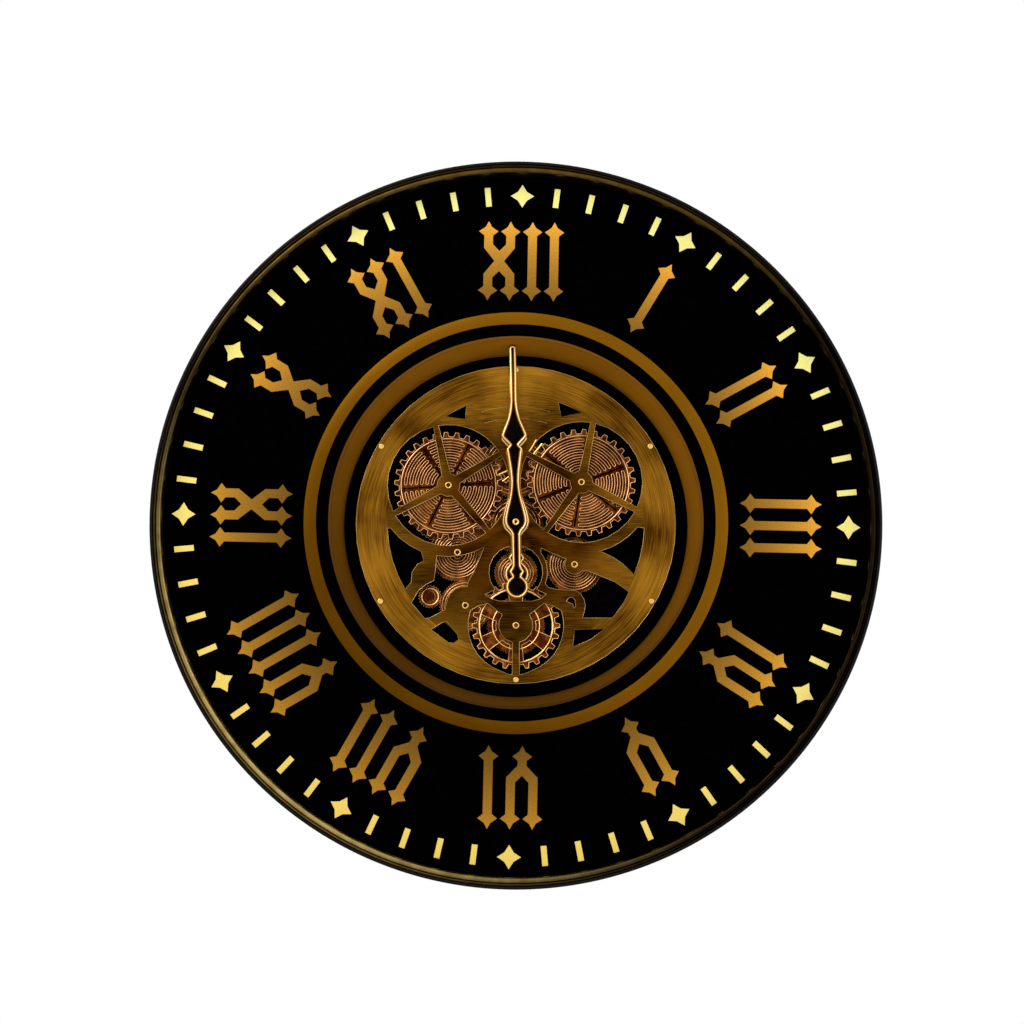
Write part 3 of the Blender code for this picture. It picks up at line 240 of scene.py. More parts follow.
def settings():
    """The sizes and the colours of the scene."""
    return bpy.context.scene.clock_sizes, bpy.context.scene.clock_colours


def spot(x, z, reach):
    """A point from millimetres across, up and out from the wall."""
    return Vector((x, HALF_DEPTH - reach, z)) / 1000


def on_circle(radius, angle, reach, centre=(0, 0)):
    """A point on a circle, with its angle in degrees from +X."""
    turn = math.radians(angle)
    return spot(centre[0] + radius * math.cos(turn), centre[1] + radius * math.sin(turn), reach)


def rounded(centre, radius, start, end, count):
    """Points of a rounded corner in a section, as (radius, reach) pairs."""
    angles = [math.radians(start + (end - start) * i / count) for i in range(count + 1)]
    return [(centre[0] + radius * math.cos(a), centre[1] + radius * math.sin(a)) for a in angles]


def wheel_centre(node):
    """Centre of a wheel across and up, in millimetres."""
    low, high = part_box(node)
    return (low.x + high.x) * 500, (low.z + high.z) * 500


def only(piece):
    """Selects one piece and makes it the active one."""
    bpy.ops.object.select_all(action="DESELECT")
    piece.select_set(True)
    bpy.context.view_layer.objects.active = piece


def drawn(name, points):
    """A new piece that is one line through the points. It stays in edit mode with all of it selected."""
    bpy.ops.object.select_all(action="DESELECT")
    bpy.ops.mesh.primitive_plane_add(size=0.001)
    piece = bpy.context.object
    piece.name = name
    bpy.ops.object.mode_set(mode="EDIT")
    bpy.ops.mesh.select_mode(type="VERT")
    bpy.ops.mesh.select_all(action="SELECT")
    bpy.ops.mesh.merge(type="CENTER")
    bpy.ops.transform.translate(value=points[0])
    for here, there in zip(points, points[1:]):
        bpy.ops.mesh.extrude_vertices_move(TRANSFORM_OT_translate={"value": there - here})
    bpy.ops.mesh.select_all(action="SELECT")
    return piece


def turned(name, section, centre=(0, 0), steps=288):
    """A new piece turned on a lathe, from its closed section of (radius, reach) pairs."""
    piece = drawn(name, [spot(centre[0] + radius, centre[1], reach) for radius, reach in section + section[:1]])
    bpy.ops.mesh.spin(steps=steps, angle=2 * math.pi, center=spot(*centre, 0), axis=(0, 1, 0))
    bpy.ops.mesh.select_all(action="SELECT")
    bpy.ops.mesh.remove_doubles(threshold=1e-6)
    bpy.ops.mesh.normals_make_consistent(inside=False)
    bpy.ops.object.mode_set(mode="OBJECT")
    bpy.ops.object.shade_smooth_by_angle(angle=math.radians(35))
    return piece


def ring_section(inner, outer, back, front, edge):
    """The section of a flat ring with rounded front edges."""
    return (
        [(inner, back), (outer, back)]
        + rounded((outer - edge, front - edge), edge, 0, 90, 4)
        + rounded((inner + edge, front - edge), edge, 90, 180, 4)
    )


def wired(piece, width, depth=None, reach=0):
    """Turns the lines of a piece into round wire of that width, or into flat wire of that depth at a reach."""
    only(piece)
    bpy.ops.object.convert(target="CURVE")
    piece.data.bevel_depth = width / 2
    piece.data.bevel_resolution = 1
    bpy.ops.object.convert(target="MESH")
    if depth:
        bpy.ops.object.mode_set(mode="EDIT")
        bpy.ops.mesh.select_all(action="SELECT")
        bpy.ops.transform.resize(value=(1, depth / width, 1), center_override=spot(0, 0, reach))
        bpy.ops.object.mode_set(mode="OBJECT")
    bpy.ops.object.shade_smooth_by_angle(angle=math.radians(80))
    return piece


def copied(name, node):
    """A merged copy of the mesh of a CAD node, as a new piece."""
    piece = bpy.data.objects.new(name, frame["nodes"][node].data.copy())
    bpy.context.scene.collection.objects.link(piece)
    only(piece)
    bpy.ops.mesh.customdata_custom_splitnormals_clear()
    bpy.ops.object.mode_set(mode="EDIT")
    bpy.ops.mesh.select_all(action="SELECT")
    bpy.ops.mesh.remove_doubles(threshold=2e-6)
    bpy.ops.object.mode_set(mode="OBJECT")
    return piece


def keep_faces(piece, wanted):
    """Keeps the faces of a piece whose centre and normal pass the test. It ends in edit mode."""
    only(piece)
    bpy.ops.object.mode_set(mode="EDIT")
    bpy.ops.mesh.select_mode(type="FACE")
    bpy.ops.mesh.select_all(action="DESELECT")
    bpy.ops.object.mode_set(mode="OBJECT")
    for face in piece.data.polygons:
        face.select = not wanted(face.center, face.normal)
    bpy.ops.object.mode_set(mode="EDIT")
    bpy.ops.mesh.delete(type="FACE")


def outlined(name, node, reach, width, depth=None, bare=()):
    """A bright line along each edge of the front faces of a CAD node at that reach.

    Bare lists circles, each a centre and a radius in millimetres, inside which no edge gets a line.
    """
    level = (HALF_DEPTH - reach) / 1000
    piece = copied(name, node)
    keep_faces(piece, lambda centre, normal: normal.y < -0.9 and abs(centre.y - level) < 2e-5)
    bpy.ops.mesh.select_mode(type="EDGE")
    bpy.ops.mesh.select_all(action="SELECT")
    bpy.ops.mesh.region_to_loop()
    bpy.ops.mesh.select_all(action="INVERT")
    bpy.ops.mesh.delete(type="EDGE")
    bpy.ops.mesh.select_all(action="SELECT")
    bpy.ops.mesh.delete(type="ONLY_FACE")
    bpy.ops.mesh.select_mode(type="VERT")
    bpy.ops.mesh.select_all(action="DESELECT")
    bpy.ops.object.mode_set(mode="OBJECT")
    circles = [(spot(*centre, reach), radius / 1000) for centre, radius in bare]
    for corner in piece.data.vertices:
        corner.select = any((corner.co - centre).length < radius for centre, radius in circles)
    bpy.ops.object.mode_set(mode="EDIT")
    bpy.ops.mesh.delete(type="VERT")
    bpy.ops.object.mode_set(mode="OBJECT")
    return wired(piece, width, depth, reach)


def joined(name, pieces):
    """Several pieces made one."""
    only(pieces[0])
    for piece in pieces:
        piece.select_set(True)
    if len(pieces) > 1:
        bpy.ops.object.join()
    pieces[0].name = name
    return pieces[0]


def settle(piece, body, material, replaced=()):
    """Gives a piece its finish and its body, and hides the CAD nodes that it stands for."""
    piece.data.materials.clear()
    piece.data.materials.append(finish(material))
    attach(piece, body)
    if replaced:
        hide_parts(*replaced)


def body_of(node):
    """The body that a CAD node rides on."""
    return frame["nodes"][node]["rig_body"]


def add(tree, kind, values=(), links=()):
    """Adds a shader node, with its settings and socket values, and links its inputs."""
    made = tree.nodes.new("ShaderNode" + kind)
    for key, value in dict(values).items():
        if isinstance(key, str) and hasattr(made, key):
            setattr(made, key, value)
        else:
            made.inputs[key].default_value = value
    for key, source in dict(links).items():
        tree.links.new(source, made.inputs[key])
    return made


def blank(name, metallic, roughness, values=()):
    """A new material with its tree, its shader and the object's own coordinates."""
    material = bpy.data.materials.new(name)
    material.use_nodes = True
    tree = material.node_tree
    shader = tree.nodes["Principled BSDF"]
    shader.inputs["Metallic"].default_value = metallic
    shader.inputs["Roughness"].default_value = roughness
    for key, value in dict(values).items():
        shader.inputs[key].default_value = value
    place = add(tree, "TexCoord").outputs["Object"]
    return material, tree, shader, place


def maths(tree, operation, *terms):
    """The result of a Math node, whose terms are numbers or sockets."""
    sockets = {i: term for i, term in enumerate(terms) if isinstance(term, bpy.types.NodeSocket)}
    numbers = {i: term for i, term in enumerate(terms) if i not in sockets}
    return add(tree, "Math", {"operation": operation, **numbers}, sockets).outputs[0]


def ramp(tree, value, start, end, clamp=True):
    """A number that goes from 0 to 1 as the value goes from start to end, and no further if it is clamped."""
    limits = {"From Min": start, "From Max": end, "clamp": clamp}
    return add(tree, "MapRange", limits, {"Value": value}).outputs["Result"]


def shaded(tree, factor, low, high, start=0.0, end=1.0):
    """A colour that goes from low to high as the factor goes from start to end."""
    mix = add(tree, "Mix", {"data_type": "RGBA"}, {"Factor": ramp(tree, factor, start, end)})
    mix.inputs[6].default_value = (*low, 1)
    mix.inputs[7].default_value = (*high, 1)
    return mix.outputs[2]


def multiplied(tree, colour, by, share=1):
    """A linked colour multiplied by another one, by that share."""
    values = {"data_type": "RGBA", "blend_type": "MULTIPLY", 0: share}
    return add(tree, "Mix", values, {6: colour, 7: by}).outputs[2]


def toned(tree, factor, colour, share):
    """A linked colour made darker where the factor is low. The share says by how much."""
    return multiplied(tree, colour, shaded(tree, factor, [1 - share] * 3, [1] * 3))


def towards(tree, place, angle):
    """How far a place lies towards that angle, in metres from the hand axis."""
    turn = math.radians(angle)
    along = {"operation": "DOT_PRODUCT", 1: (math.cos(turn), 0, math.sin(turn))}
    return add(tree, "VectorMath", along, {0: place}).outputs["Value"]


def flattened(tree, place):
    """A place without its depth, so that only across and up count."""
    return add(tree, "VectorMath", {"operation": "MULTIPLY", 1: (1, 0, 1)}, {0: place}).outputs["Vector"]


def from_axis(tree, place):
    """The distance from the hand axis, in metres."""
    return add(tree, "VectorMath", {"operation": "LENGTH"}, {0: flattened(tree, place)}).outputs["Value"]


def aim_from_axis(tree, place):
    """The direction from the hand axis, as a vector one long."""
    return add(tree, "VectorMath", {"operation": "NORMALIZE"}, {0: flattened(tree, place)}).outputs["Vector"]


def stretched(tree, place, scale):
    """A place with its axes scaled, so that a pattern gets longer along an axis whose scale is under 1."""
    return add(tree, "Mapping", {"Scale": scale}, {"Vector": place}).outputs["Vector"]


def clouds(tree, place, size, detail=3):
    """Soft noise with patches of that size in metres."""
    return add(tree, "TexNoise", {"Scale": 1 / size, "Detail": detail}, {"Vector": place}).outputs["Fac"]


def raised(tree, shader, relief, height, strength=1):
    """Lifts the surface by a height in metres where the relief is 1."""
    bump = add(tree, "Bump", {"Strength": strength, "Distance": height}, {"Height": relief})
    tree.links.new(bump.outputs["Normal"], shader.inputs["Normal"])


def grained(tree, shader, place, size, height):
    """Fine unevenness in the surface, of that grain and height in metres."""
    raised(tree, shader, clouds(tree, place, size, 2), height)


def light_fans(tree, place, angles):
    """Soft fans of light from the hand axis at those angles, as brushed metal shows them."""
    aim = aim_from_axis(tree, place)
    light = None
    for angle in angles:
        near = ramp(tree, towards(tree, aim, angle), 0.965, 1)
        light = maths(tree, "ADD", light, near) if light else near
    return light


def arc_noise(tree, place, around, pitch):
    """Noise in arcs round the hand axis, that far from one to the next. More around makes the arcs shorter."""
    rise = maths(tree, "MULTIPLY", from_axis(tree, place), 1 / pitch)
    rise = add(tree, "CombineXYZ", {}, {"Y": rise}).outputs["Vector"]
    along = {"operation": "MULTIPLY_ADD", 1: (around, around, around)}
    along = add(tree, "VectorMath", along, {0: aim_from_axis(tree, place), 2: rise}).outputs["Vector"]
    return add(tree, "TexNoise", {"Scale": 1, "Detail": 3}, {"Vector": along}).outputs["Fac"]


def brush_marks(tree, place, pitch, level_inside):
    """Brush marks: level lines inside that radius, and arcs round the hand axis outside it."""
    arcs = arc_noise(tree, place, 4, pitch)
    level = clouds(tree, stretched(tree, place, (0.04, 1, 1)), pitch)
    outside = maths(tree, "GREATER_THAN", from_axis(tree, place), level_inside)
    return add(tree, "Mix", {}, {"Factor": outside, 2: level, 3: arcs}).outputs[0]


def clouded(name, metallic, roughness, patch, low, high, start, end, grain=None, values=()):
    """A material with two colours in soft clouds, whose patches have that size in metres.

    The colour goes from low to high as the clouds go from start to end. Grain is the size and the height
    of a fine unevenness, in metres.
    """
    material, tree, shader, place = blank(name, metallic, roughness, values)
    colour = shaded(tree, clouds(tree, place, patch), low, high, start, end)
    tree.links.new(colour, shader.inputs["Base Color"])
    if grain:
        grained(tree, shader, place, *grain)
    return material


def black_lacquer(sizes, colours):
    """Sprayed and baked black lacquer: deep, even and only softly glossy."""
    low, high = colours.lacquer, linear("#0a0807")
    dull = {"Specular IOR Level": 0.12}
    return clouded("black_lacquer", 0, 0.32, 0.02, low, high, 0.4, 0.8, (0.0015, 0.000004), dull)


def bronze_with_painted_highlights(sizes, colours):
    """Bronze paste over black, with a painted highlight at the lower left and a fainter painted highlight at the top,
    and darker on the outer flank of the bead.
    """
    material, tree, shader, place = blank("bronze_with_painted_highlights", 1, 0.3)
    aim = aim_from_axis(tree, place)
    # Painted highlights: bright bronze in a lobe towards the lower left, and olive bronze towards the top, where light
    # catches the bead
    low = maths(tree, "POWER", ramp(tree, towards(tree, aim, 228), 0.1, 1), 2.6)
    top = ramp(tree, towards(tree, aim, 95), 0.45, 1)
    painted_lower_left_highlight = shaded(tree, low, colours.bronze_deep, colours.bronze)
    painted_highlights = add(tree, "Mix", {"data_type": "RGBA", 7: (*colours.bronze_top_highlight, 1)}, {0: top, 6: painted_lower_left_highlight}).outputs[2]
    patch = shaded(tree, clouds(tree, place, 0.012), linear("#8a6a30"), linear("#ffffff"), 0.3, 0.6)
    patched = multiplied(tree, painted_highlights, patch, 0.5)
    flank = shaded(tree, from_axis(tree, place), (1, 1, 1), (0.3, 0.26, 0.2), *BEAD_FLANK)
    tree.links.new(multiplied(tree, patched, flank), shader.inputs["Base Color"])
    grained(tree, shader, place, 0.0012, 0.00001)
    return material


def dial_enamel(sizes, colours):
    """Flat black enamel with a faint orange-peel surface."""
    low, high = colours.enamel, linear("#040203")
    dull = {"Specular IOR Level": 0.0}
    return clouded("dial_enamel", 0, 0.5, 0.004, low, high, 0.3, 0.8, (0.001, 0.000003), dull)


def hand_enamel(sizes, colours):
    """Black enamel of the hands: deep and nearly without gloss."""
    low, high = linear("#030202"), linear("#120803")
    dull = {"Specular IOR Level": 0.01}
    return clouded("hand_enamel", 0, 0.45, 0.008, low, high, 0.4, 0.75, (0.001, 0.000003), dull)


def gilt(name, high, low, roughness, speckle, aim=65, rise=1.0):
    """Gold paint with a fine metallic speckle, with painted light making it paler towards the upper right of the dial
    and painted shade towards the lower left.

    Aim is the side of the dial, in degrees, where the paint is palest. Rise says how many times brighter
    the paint is at the outer end of a numeral than at its inner end.
    """
    material, tree, shader, place = blank(name, 0.35, roughness, {"Specular IOR Level": 0.1})
    # Painted light and shade: paler towards the aim, darker on the far side of the dial
    painted_side_light = shaded(tree, towards(tree, place, aim), low, high, -0.22, 0.2)
    fleck = shaded(tree, clouds(tree, place, 0.0012, 1), [speckle] * 3, [1] * 3, 0.35, 0.65)
    flecked = multiplied(tree, painted_side_light, fleck)
    out = ramp(tree, from_axis(tree, place), NUMERAL_INNER, NUMERAL_OUTER, clamp=False)
    power = maths(tree, "POWER", rise, out)
    scaled = add(tree, "VectorMath", {"operation": "SCALE"}, {0: flecked, "Scale": power})
    tree.links.new(scaled.outputs["Vector"], shader.inputs["Base Color"])
    grained(tree, shader, place, 0.0012, 0.000006)
    return material


def numeral_gilt(sizes, colours):
    """Satin gold paint of the numerals, with painted light towards the upper right."""
    return gilt("numeral_gilt", colours.gilt_painted_lit, colours.gilt_painted_shade, 0.45, 0.82, aim=50, rise=2.05)


def mark_gilt(sizes, colours):
    """Bright gold paint of the hour and minute marks, with painted light towards the upper right and painted shade
    towards the bottom.
    """
    return gilt("mark_gilt", colours.mark_painted_lit, colours.mark_painted_shade, 0.35, 0.94)


def satin_brass(sizes, colours):
    """Rolled brass sheet with a satin lacquer, slightly clouded, with painted light at the upper right and painted
    shade towards the lower left.
    """
    material, tree, shader, place = blank("satin_brass", 1, 0.42)
    # Painted light and shade: the rings are lit towards the upper right and shaded towards the lower left
    painted_side_light = shaded(tree, towards(tree, place, 45), colours.ring_painted_shade, colours.ring_painted_lit, -0.15, 0.01)
    colour = toned(tree, clouds(tree, place, 0.05), painted_side_light, 0.35)
    tree.links.new(colour, shader.inputs["Base Color"])
    grained(tree, shader, place, 0.0008, 0.000006)
    return material


def gold_paint(sizes, colours):
    """Gold paint sprayed on a spun funnel: flat and even, with no mirror in it; painted shade darkens it towards the
    bottom and on its lip at the front.
    """
    material, tree, shader, place = blank("gold_paint", 0.1, 0.7, {"Specular IOR Level": 0.1})
    # Painted shade: the funnel falls to a third of its colour on the side away from the light, towards the bottom
    low = [0.3 * c for c in colours.funnel]
    painted_side_light = shaded(tree, towards(tree, place, 75), low, colours.funnel, -0.14, 0.145)
    cloudy = toned(tree, clouds(tree, place, 0.04), painted_side_light, 0.25)
    # Painted shade on the lip at the front, at half the brightness of the wall behind it
    depth = add(tree, "SeparateXYZ", {}, {"Vector": place}).outputs["Y"]
    wall = ramp(tree, depth, -0.0173, -0.0162)
    tree.links.new(toned(tree, wall, cloudy, 0.5), shader.inputs["Base Color"])
    grained(tree, shader, place, 0.0008, 0.000006)
    return material


def brushed_brass(sizes, colours):
    """Brass plate brushed round its rim and level across its bridges, with painted highlights in fans from the hand
    axis, browner at the middle and darker towards the lower left.
    """
    material, tree, shader, place = blank("brushed_brass", 1, 0.36)
    marks = brush_marks(tree, place, sizes.brush_pitch, PLATE_RIM)
    # Painted highlights: fans of light from the hand axis, where the brushing would catch the light
    fans = light_fans(tree, place, (12, 90, 154, 194, 240, 332))
    broad = arc_noise(tree, place, 2.5, 0.03)
    light = maths(tree, "MULTIPLY_ADD", fans, 0.3, broad)
    light = maths(tree, "MULTIPLY_ADD", marks, 1.15, light)
    colour = shaded(tree, light, colours.plate_deep, colours.plate_pale, 0.87, 1.56)
    brown = shaded(tree, from_axis(tree, place), (0.28, 0.2, 0.16), (1, 1, 1), *BROWN_PLATE)
    aged = multiplied(tree, colour, brown)
    rim = maths(tree, "GREATER_THAN", from_axis(tree, place), PLATE_RIM)
    upper = ramp(tree, towards(tree, place, 240), 0.085, 0.025)
    kept = maths(tree, "MAXIMUM", upper, rim)
    tree.links.new(toned(tree, kept, aged, 0.5), shader.inputs["Base Color"])
    raised(tree, shader, marks, 0.00002, strength=0.4)
    return material


def stamped_copper(sizes, colours):
    """Red brass stamping with a dark patina, paler in patches of wear, and paler towards the bottom of the movement."""
    material, tree, shader, place = blank("stamped_copper", 1, 0.4)
    patch = maths(tree, "MULTIPLY", clouds(tree, place, 0.03), clouds(tree, place, 0.006))
    colour = shaded(tree, patch, colours.wheel, colours.wheel_pale, 0.2, 0.45)
    # Darker above the lower part of the movement, full colour towards the bottom
    bottom = ramp(tree, towards(tree, place, 90), -0.03, -0.09)
    tree.links.new(toned(tree, bottom, colour, 0.52), shader.inputs["Base Color"])
    grained(tree, shader, place, 0.0009, 0.00001)
    return material


def cut_line(sizes, colours):
    """Lines cut through the patina to bright copper alloy."""
    low = [0.55 * c for c in colours.line]
    return clouded("cut_line", 1, 0.35, 0.012, low, colours.line, 0.32, 0.6)


def gold_line(sizes, colours):
    """Lines cut through the patina of the lowest wheel to bright yellow brass."""
    return clouded("gold_line", 1, 0.35, 0.012, linear("#c4873a"), linear("#ffcf86"), 0.32, 0.6)


def plate_edge(sizes, colours):
    """Edges of the plate, polished by handling and dulled again."""
    low = [0.35 * c for c in colours.edge]
    high = [0.7 * c for c in colours.edge]
    return clouded("plate_edge", 1, 0.35, 0.02, low, high, 0.35, 0.65)


def polished_gold(sizes, colours):
    """Gold-plated brass, polished bright."""
    low = [0.8 * c for c in colours.edge]
    return clouded("polished_gold", 1, 0.22, 0.01, low, colours.edge, 0.3, 0.6)


def hand_edge(sizes, colours):
    """Diamond-cut rim of the hands, bright as a mirror."""
    return clouded("hand_edge", 1, 0.25, 0.02, linear("#ffc77c"), linear("#ffe2b0"), 0.3, 0.7)


def hand_bevel(sizes, colours):
    """Gold-plated bevel round each hand, warmer than its rim."""
    return clouded("hand_bevel", 1, 0.3, 0.02, linear("#6e4305"), linear("#a87210"), 0.3, 0.7)


def turned_steel(sizes, colours):
    """Bright steel straight from the lathe."""
    material, tree, shader, place = blank("turned_steel", 1, 0.28)
    rings = clouds(tree, stretched(tree, place, (1, 12, 1)), 0.002)
    colour = shaded(tree, rings, linear("#9a948a"), linear("#c4beb2"), 0.3, 0.7)
    tree.links.new(colour, shader.inputs["Base Color"])
    return material


def zinc_plate(sizes, colours):
    """Zinc-plated steel with its faint spangle, in cells of about 4 mm."""
    material, tree, shader, place = blank("zinc_plate", 1, 0.38)
    cells = add(tree, "TexVoronoi", {"Scale": 260}, {"Vector": place})
    colour = shaded(tree, cells.outputs["Distance"], linear("#8f979b"), linear("#b4babd"), 0.0, 0.6)
    tree.links.new(colour, shader.inputs["Base Color"])
    grained(tree, shader, place, 0.001, 0.000008)
    return material


def moulded_abs(sizes, colours):
    """Black ABS from a lightly sparked mould: soft sheen and a fine grain of about 0.4 mm."""
    low, high = linear("#151515"), linear("#1c1b1b")
    return clouded("moulded_abs", 0, 0.5, 0.003, low, high, 0.3, 0.7, (0.0004, 0.00002), {"IOR": 1.53})


def matt_panel(sizes, colours):
    """Steel plate coated matt black: very dark, with an orange-peel grain of about 1 mm."""
    low, high = linear("#030202"), linear("#070404")
    dull = {"Specular IOR Level": 0.0}
    return clouded("matt_panel", 0, 0.7, 0.004, low, high, 0.3, 0.7, (0.001, 0.00003), dull)


def hardboard(sizes, colours):
    """Pressed wood-fibre board painted matt black: flat, with short fibres about 3 mm long under the paint."""
    material, tree, shader, place = blank("hardboard", 0, 0.75, {"Specular IOR Level": 0.25})
    fibres = stretched(tree, place, (1, 1, 0.3))
    colour = shaded(tree, clouds(tree, fibres, 0.0012), linear("#100e0d"), linear("#1d1a17"), 0.3, 0.7)
    tree.links.new(colour, shader.inputs["Base Color"])
    grained(tree, shader, fibres, 0.0010, 0.00004)
    return material


def cell_film(sizes, colours):
    """Printed film shrunk on a dry cell: green, with a copper band 12 mm wide at the positive end."""
    material, tree, shader, place = blank("cell_film", 0, 0.3, {"Coat Weight": 0.4, "Coat Roughness": 0.1})
    across = add(tree, "SeparateXYZ", {}, {"Vector": place}).outputs["X"]
    moved = maths(tree, "ADD", across, -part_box("quartz_cell")[0].x)
    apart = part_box("quartz_cell")[0].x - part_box("gear_cell")[0].x
    along = maths(tree, "WRAP", moved, apart, 0.0)
    colour = shaded(tree, along, linear("#235c31"), linear("#b5733a"), 0.038, 0.0382)
    tree.links.new(colour, shader.inputs["Base Color"])
    return material


def red_plastic(sizes, colours):
    """Red moulded nylon of the switch key and the jackets of the leads."""
    low, high = linear("#7f1712"), linear("#94201a")
    return clouded("red_plastic", 0, 0.4, 0.003, low, high, 0.3, 0.7, (0.0005, 0.00001), {"IOR": 1.53})


RECIPES = {
    made.__name__: made
    for made in (
        black_lacquer,
        bronze_with_painted_highlights,
        dial_enamel,
        hand_enamel,
        numeral_gilt,
        mark_gilt,
        satin_brass,
        gold_paint,
        brushed_brass,
        stamped_copper,
        cut_line,
        gold_line,
        plate_edge,
        polished_gold,
        hand_edge,
        hand_bevel,
        turned_steel,
        zinc_plate,
        moulded_abs,
        matt_panel,
        hardboard,
        cell_film,
        red_plastic,
    )
}

# The finish of each slot of the record, for the solids that stay as they are
SLOT_FINISH = {
    "case_black": "black_lacquer",
    "bezel_bronze": "bronze_with_painted_highlights",
    "dial_black": "dial_enamel",
    "dial_sheet": "dial_enamel",
    "ring_gold": "satin_brass",
    "plate_brass": "brushed_brass",
    "screw_brass": "polished_gold",
    "wheel_copper": "stamped_copper",
    "fine_copper": "stamped_copper",
    "driver_gold": "stamped_copper",
    "arbor_steel": "turned_steel",
    "hand_black": "hand_enamel",
    "moulded_black": "moulded_abs",
    "panel_black": "matt_panel",
    "back_board": "hardboard",
    "zinc_steel": "zinc_plate",
    "cell_jacket": "cell_film",
    "lead_red": "red_plastic",
}


def finish(name):
    """The material of that name, made once."""
    return bpy.data.materials.get(name) or RECIPES[name](*settings())


class CLOCK_OT_solids(bpy.types.Operator):
    """Gives every solid of the frame its finish"""

    bl_idname = "gear_clock.solids"
    bl_label = "Finish the solids"

    def execute(self, context):
        for part in frame["record"]["subparts"]:
            solid = frame["nodes"][part["node"]]
            solid.data.materials.clear()
            solid.data.materials.append(finish(SLOT_FINISH[part["material_slot"]]))
        return {"FINISHED"}


class CLOCK_OT_case(bpy.types.Operator):
    """Turns the lacquered band and the double bead inside its front edge"""

    bl_idname = "gear_clock.case"
    bl_label = "Case and bezel"

    def execute(self, context):
        band = (
            [(297.0, 2.8)]
            + rounded((295.8, 68.8), 1.2, 0, 90, 6)
            + [(294.6, 69.9), (294.6, 57.7), (288.3, 57.7), (288.3, 51.8), (294.8, 51.8), (294.8, 2.8)]
        )
        settle(turned("case_shell", band), "case", "black_lacquer", ["case_band"])
        bead = (
            [(294.3, 58.0)]
            + rounded((293.35, 68.5), 0.95, 0, 160, 8)
            + rounded((290.05, 67.3), 2.35, 20, 180, 14)
            + [(287.7, 58.0)]
        )
        settle(turned("bezel_bead", bead), "case", "bronze_with_painted_highlights", ["bezel_ring"])
        return {"FINISHED"}


class CLOCK_OT_dial(bpy.types.Operator):
    """Turns the black dial, its two gold rings and the pan behind the opening"""

    bl_idname = "gear_clock.dial"
    bl_label = "Dial and rings"

    def execute(self, context):
        disc = [
            (WELL_RADIUS, 50.0),
            (DIAL_RADIUS, 50.0),
            (DIAL_RADIUS, DIAL_FACE),
            (LEDGE_RADIUS, DIAL_FACE),
            (LEDGE_RADIUS, SHEET_FACE),
            (SHEET_INSIDE, SHEET_FACE),
            (SHEET_INSIDE, DIAL_FACE),
            (WELL_RADIUS, DIAL_FACE),
        ]
        settle(turned("dial_disc", disc), "case", "dial_enamel", ["dial_plate", "dial_sheet"])
        outer = ring_section(163.5, 173.7, TRIM_BACK, TRIM_FACE, 0.25)
        settle(turned("outer_ring", outer), "case", "satin_brass", ["outer_dial_ring"])
        funnel = (
            [(143.8, 21.5), (152.0, TRIM_BACK), (153.6, TRIM_BACK)]
            + rounded((153.35, TRIM_FACE - 0.25), 0.25, 0, 90, 4)
            + rounded((151.7, TRIM_FACE - 0.5), 0.5, 90, 165, 6)
            + [(142.8, 21.5)]
        )
        settle(turned("inner_ring", funnel), "case", "gold_paint", ["well_ring"])
        pan = [
            (123.6, 28.7),
            (132.5, 28.7),
            (132.5, 21.2),
            (WELL_RADIUS, 21.2),
            (WELL_RADIUS, 49.7),
            (159.8, 49.7),
            (159.8, 48.2),
            (153.8, 48.2),
            (153.8, 19.7),
            (131.0, 19.7),
            (131.0, 27.2),
            (123.6, 27.2),
        ]
        settle(turned("dial_pan", pan), "case", "dial_enamel", ["dial_well"])
        return {"FINISHED"}


class CLOCK_OT_numerals(bpy.types.Operator):
    """Takes the raised numerals and marks from the dial sheet and gilds them"""

    bl_idname = "gear_clock.numerals"
    bl_label = "Numerals and marks"

    def execute(self, context):
        face = (HALF_DEPTH - SHEET_FACE) / 1000
        for name, (low, high), material in (
            ("hour_numerals", NUMERAL_BAND, "numeral_gilt"),
            ("hour_and_minute_marks", MARK_BAND, "mark_gilt"),
        ):
            piece = copied(name, "dial_sheet")
            keep_faces(
                piece,
                lambda centre, normal: centre.y < face - 3e-5 and low < math.hypot(centre.x, centre.z) < high,
            )
            bpy.ops.mesh.select_mode(type="EDGE")
            bpy.ops.mesh.select_all(action="DESELECT")
            bpy.ops.mesh.select_non_manifold()
            bpy.ops.mesh.fill(use_beauty=False)
            bpy.ops.mesh.select_all(action="SELECT")
            bpy.ops.mesh.normals_make_consistent(inside=False)
            bpy.ops.object.mode_set(mode="OBJECT")
            settle(piece, "case", material)
        return {"FINISHED"}


def drawn_bar(name, ends, reach):
    """A short polished bar between two places."""
    piece = drawn(name, [spot(x, z, reach) for x, z in ends])
    bpy.ops.object.mode_set(mode="OBJECT")
    return wired(piece, BAR_WIDTH, BAR_DEPTH, reach)


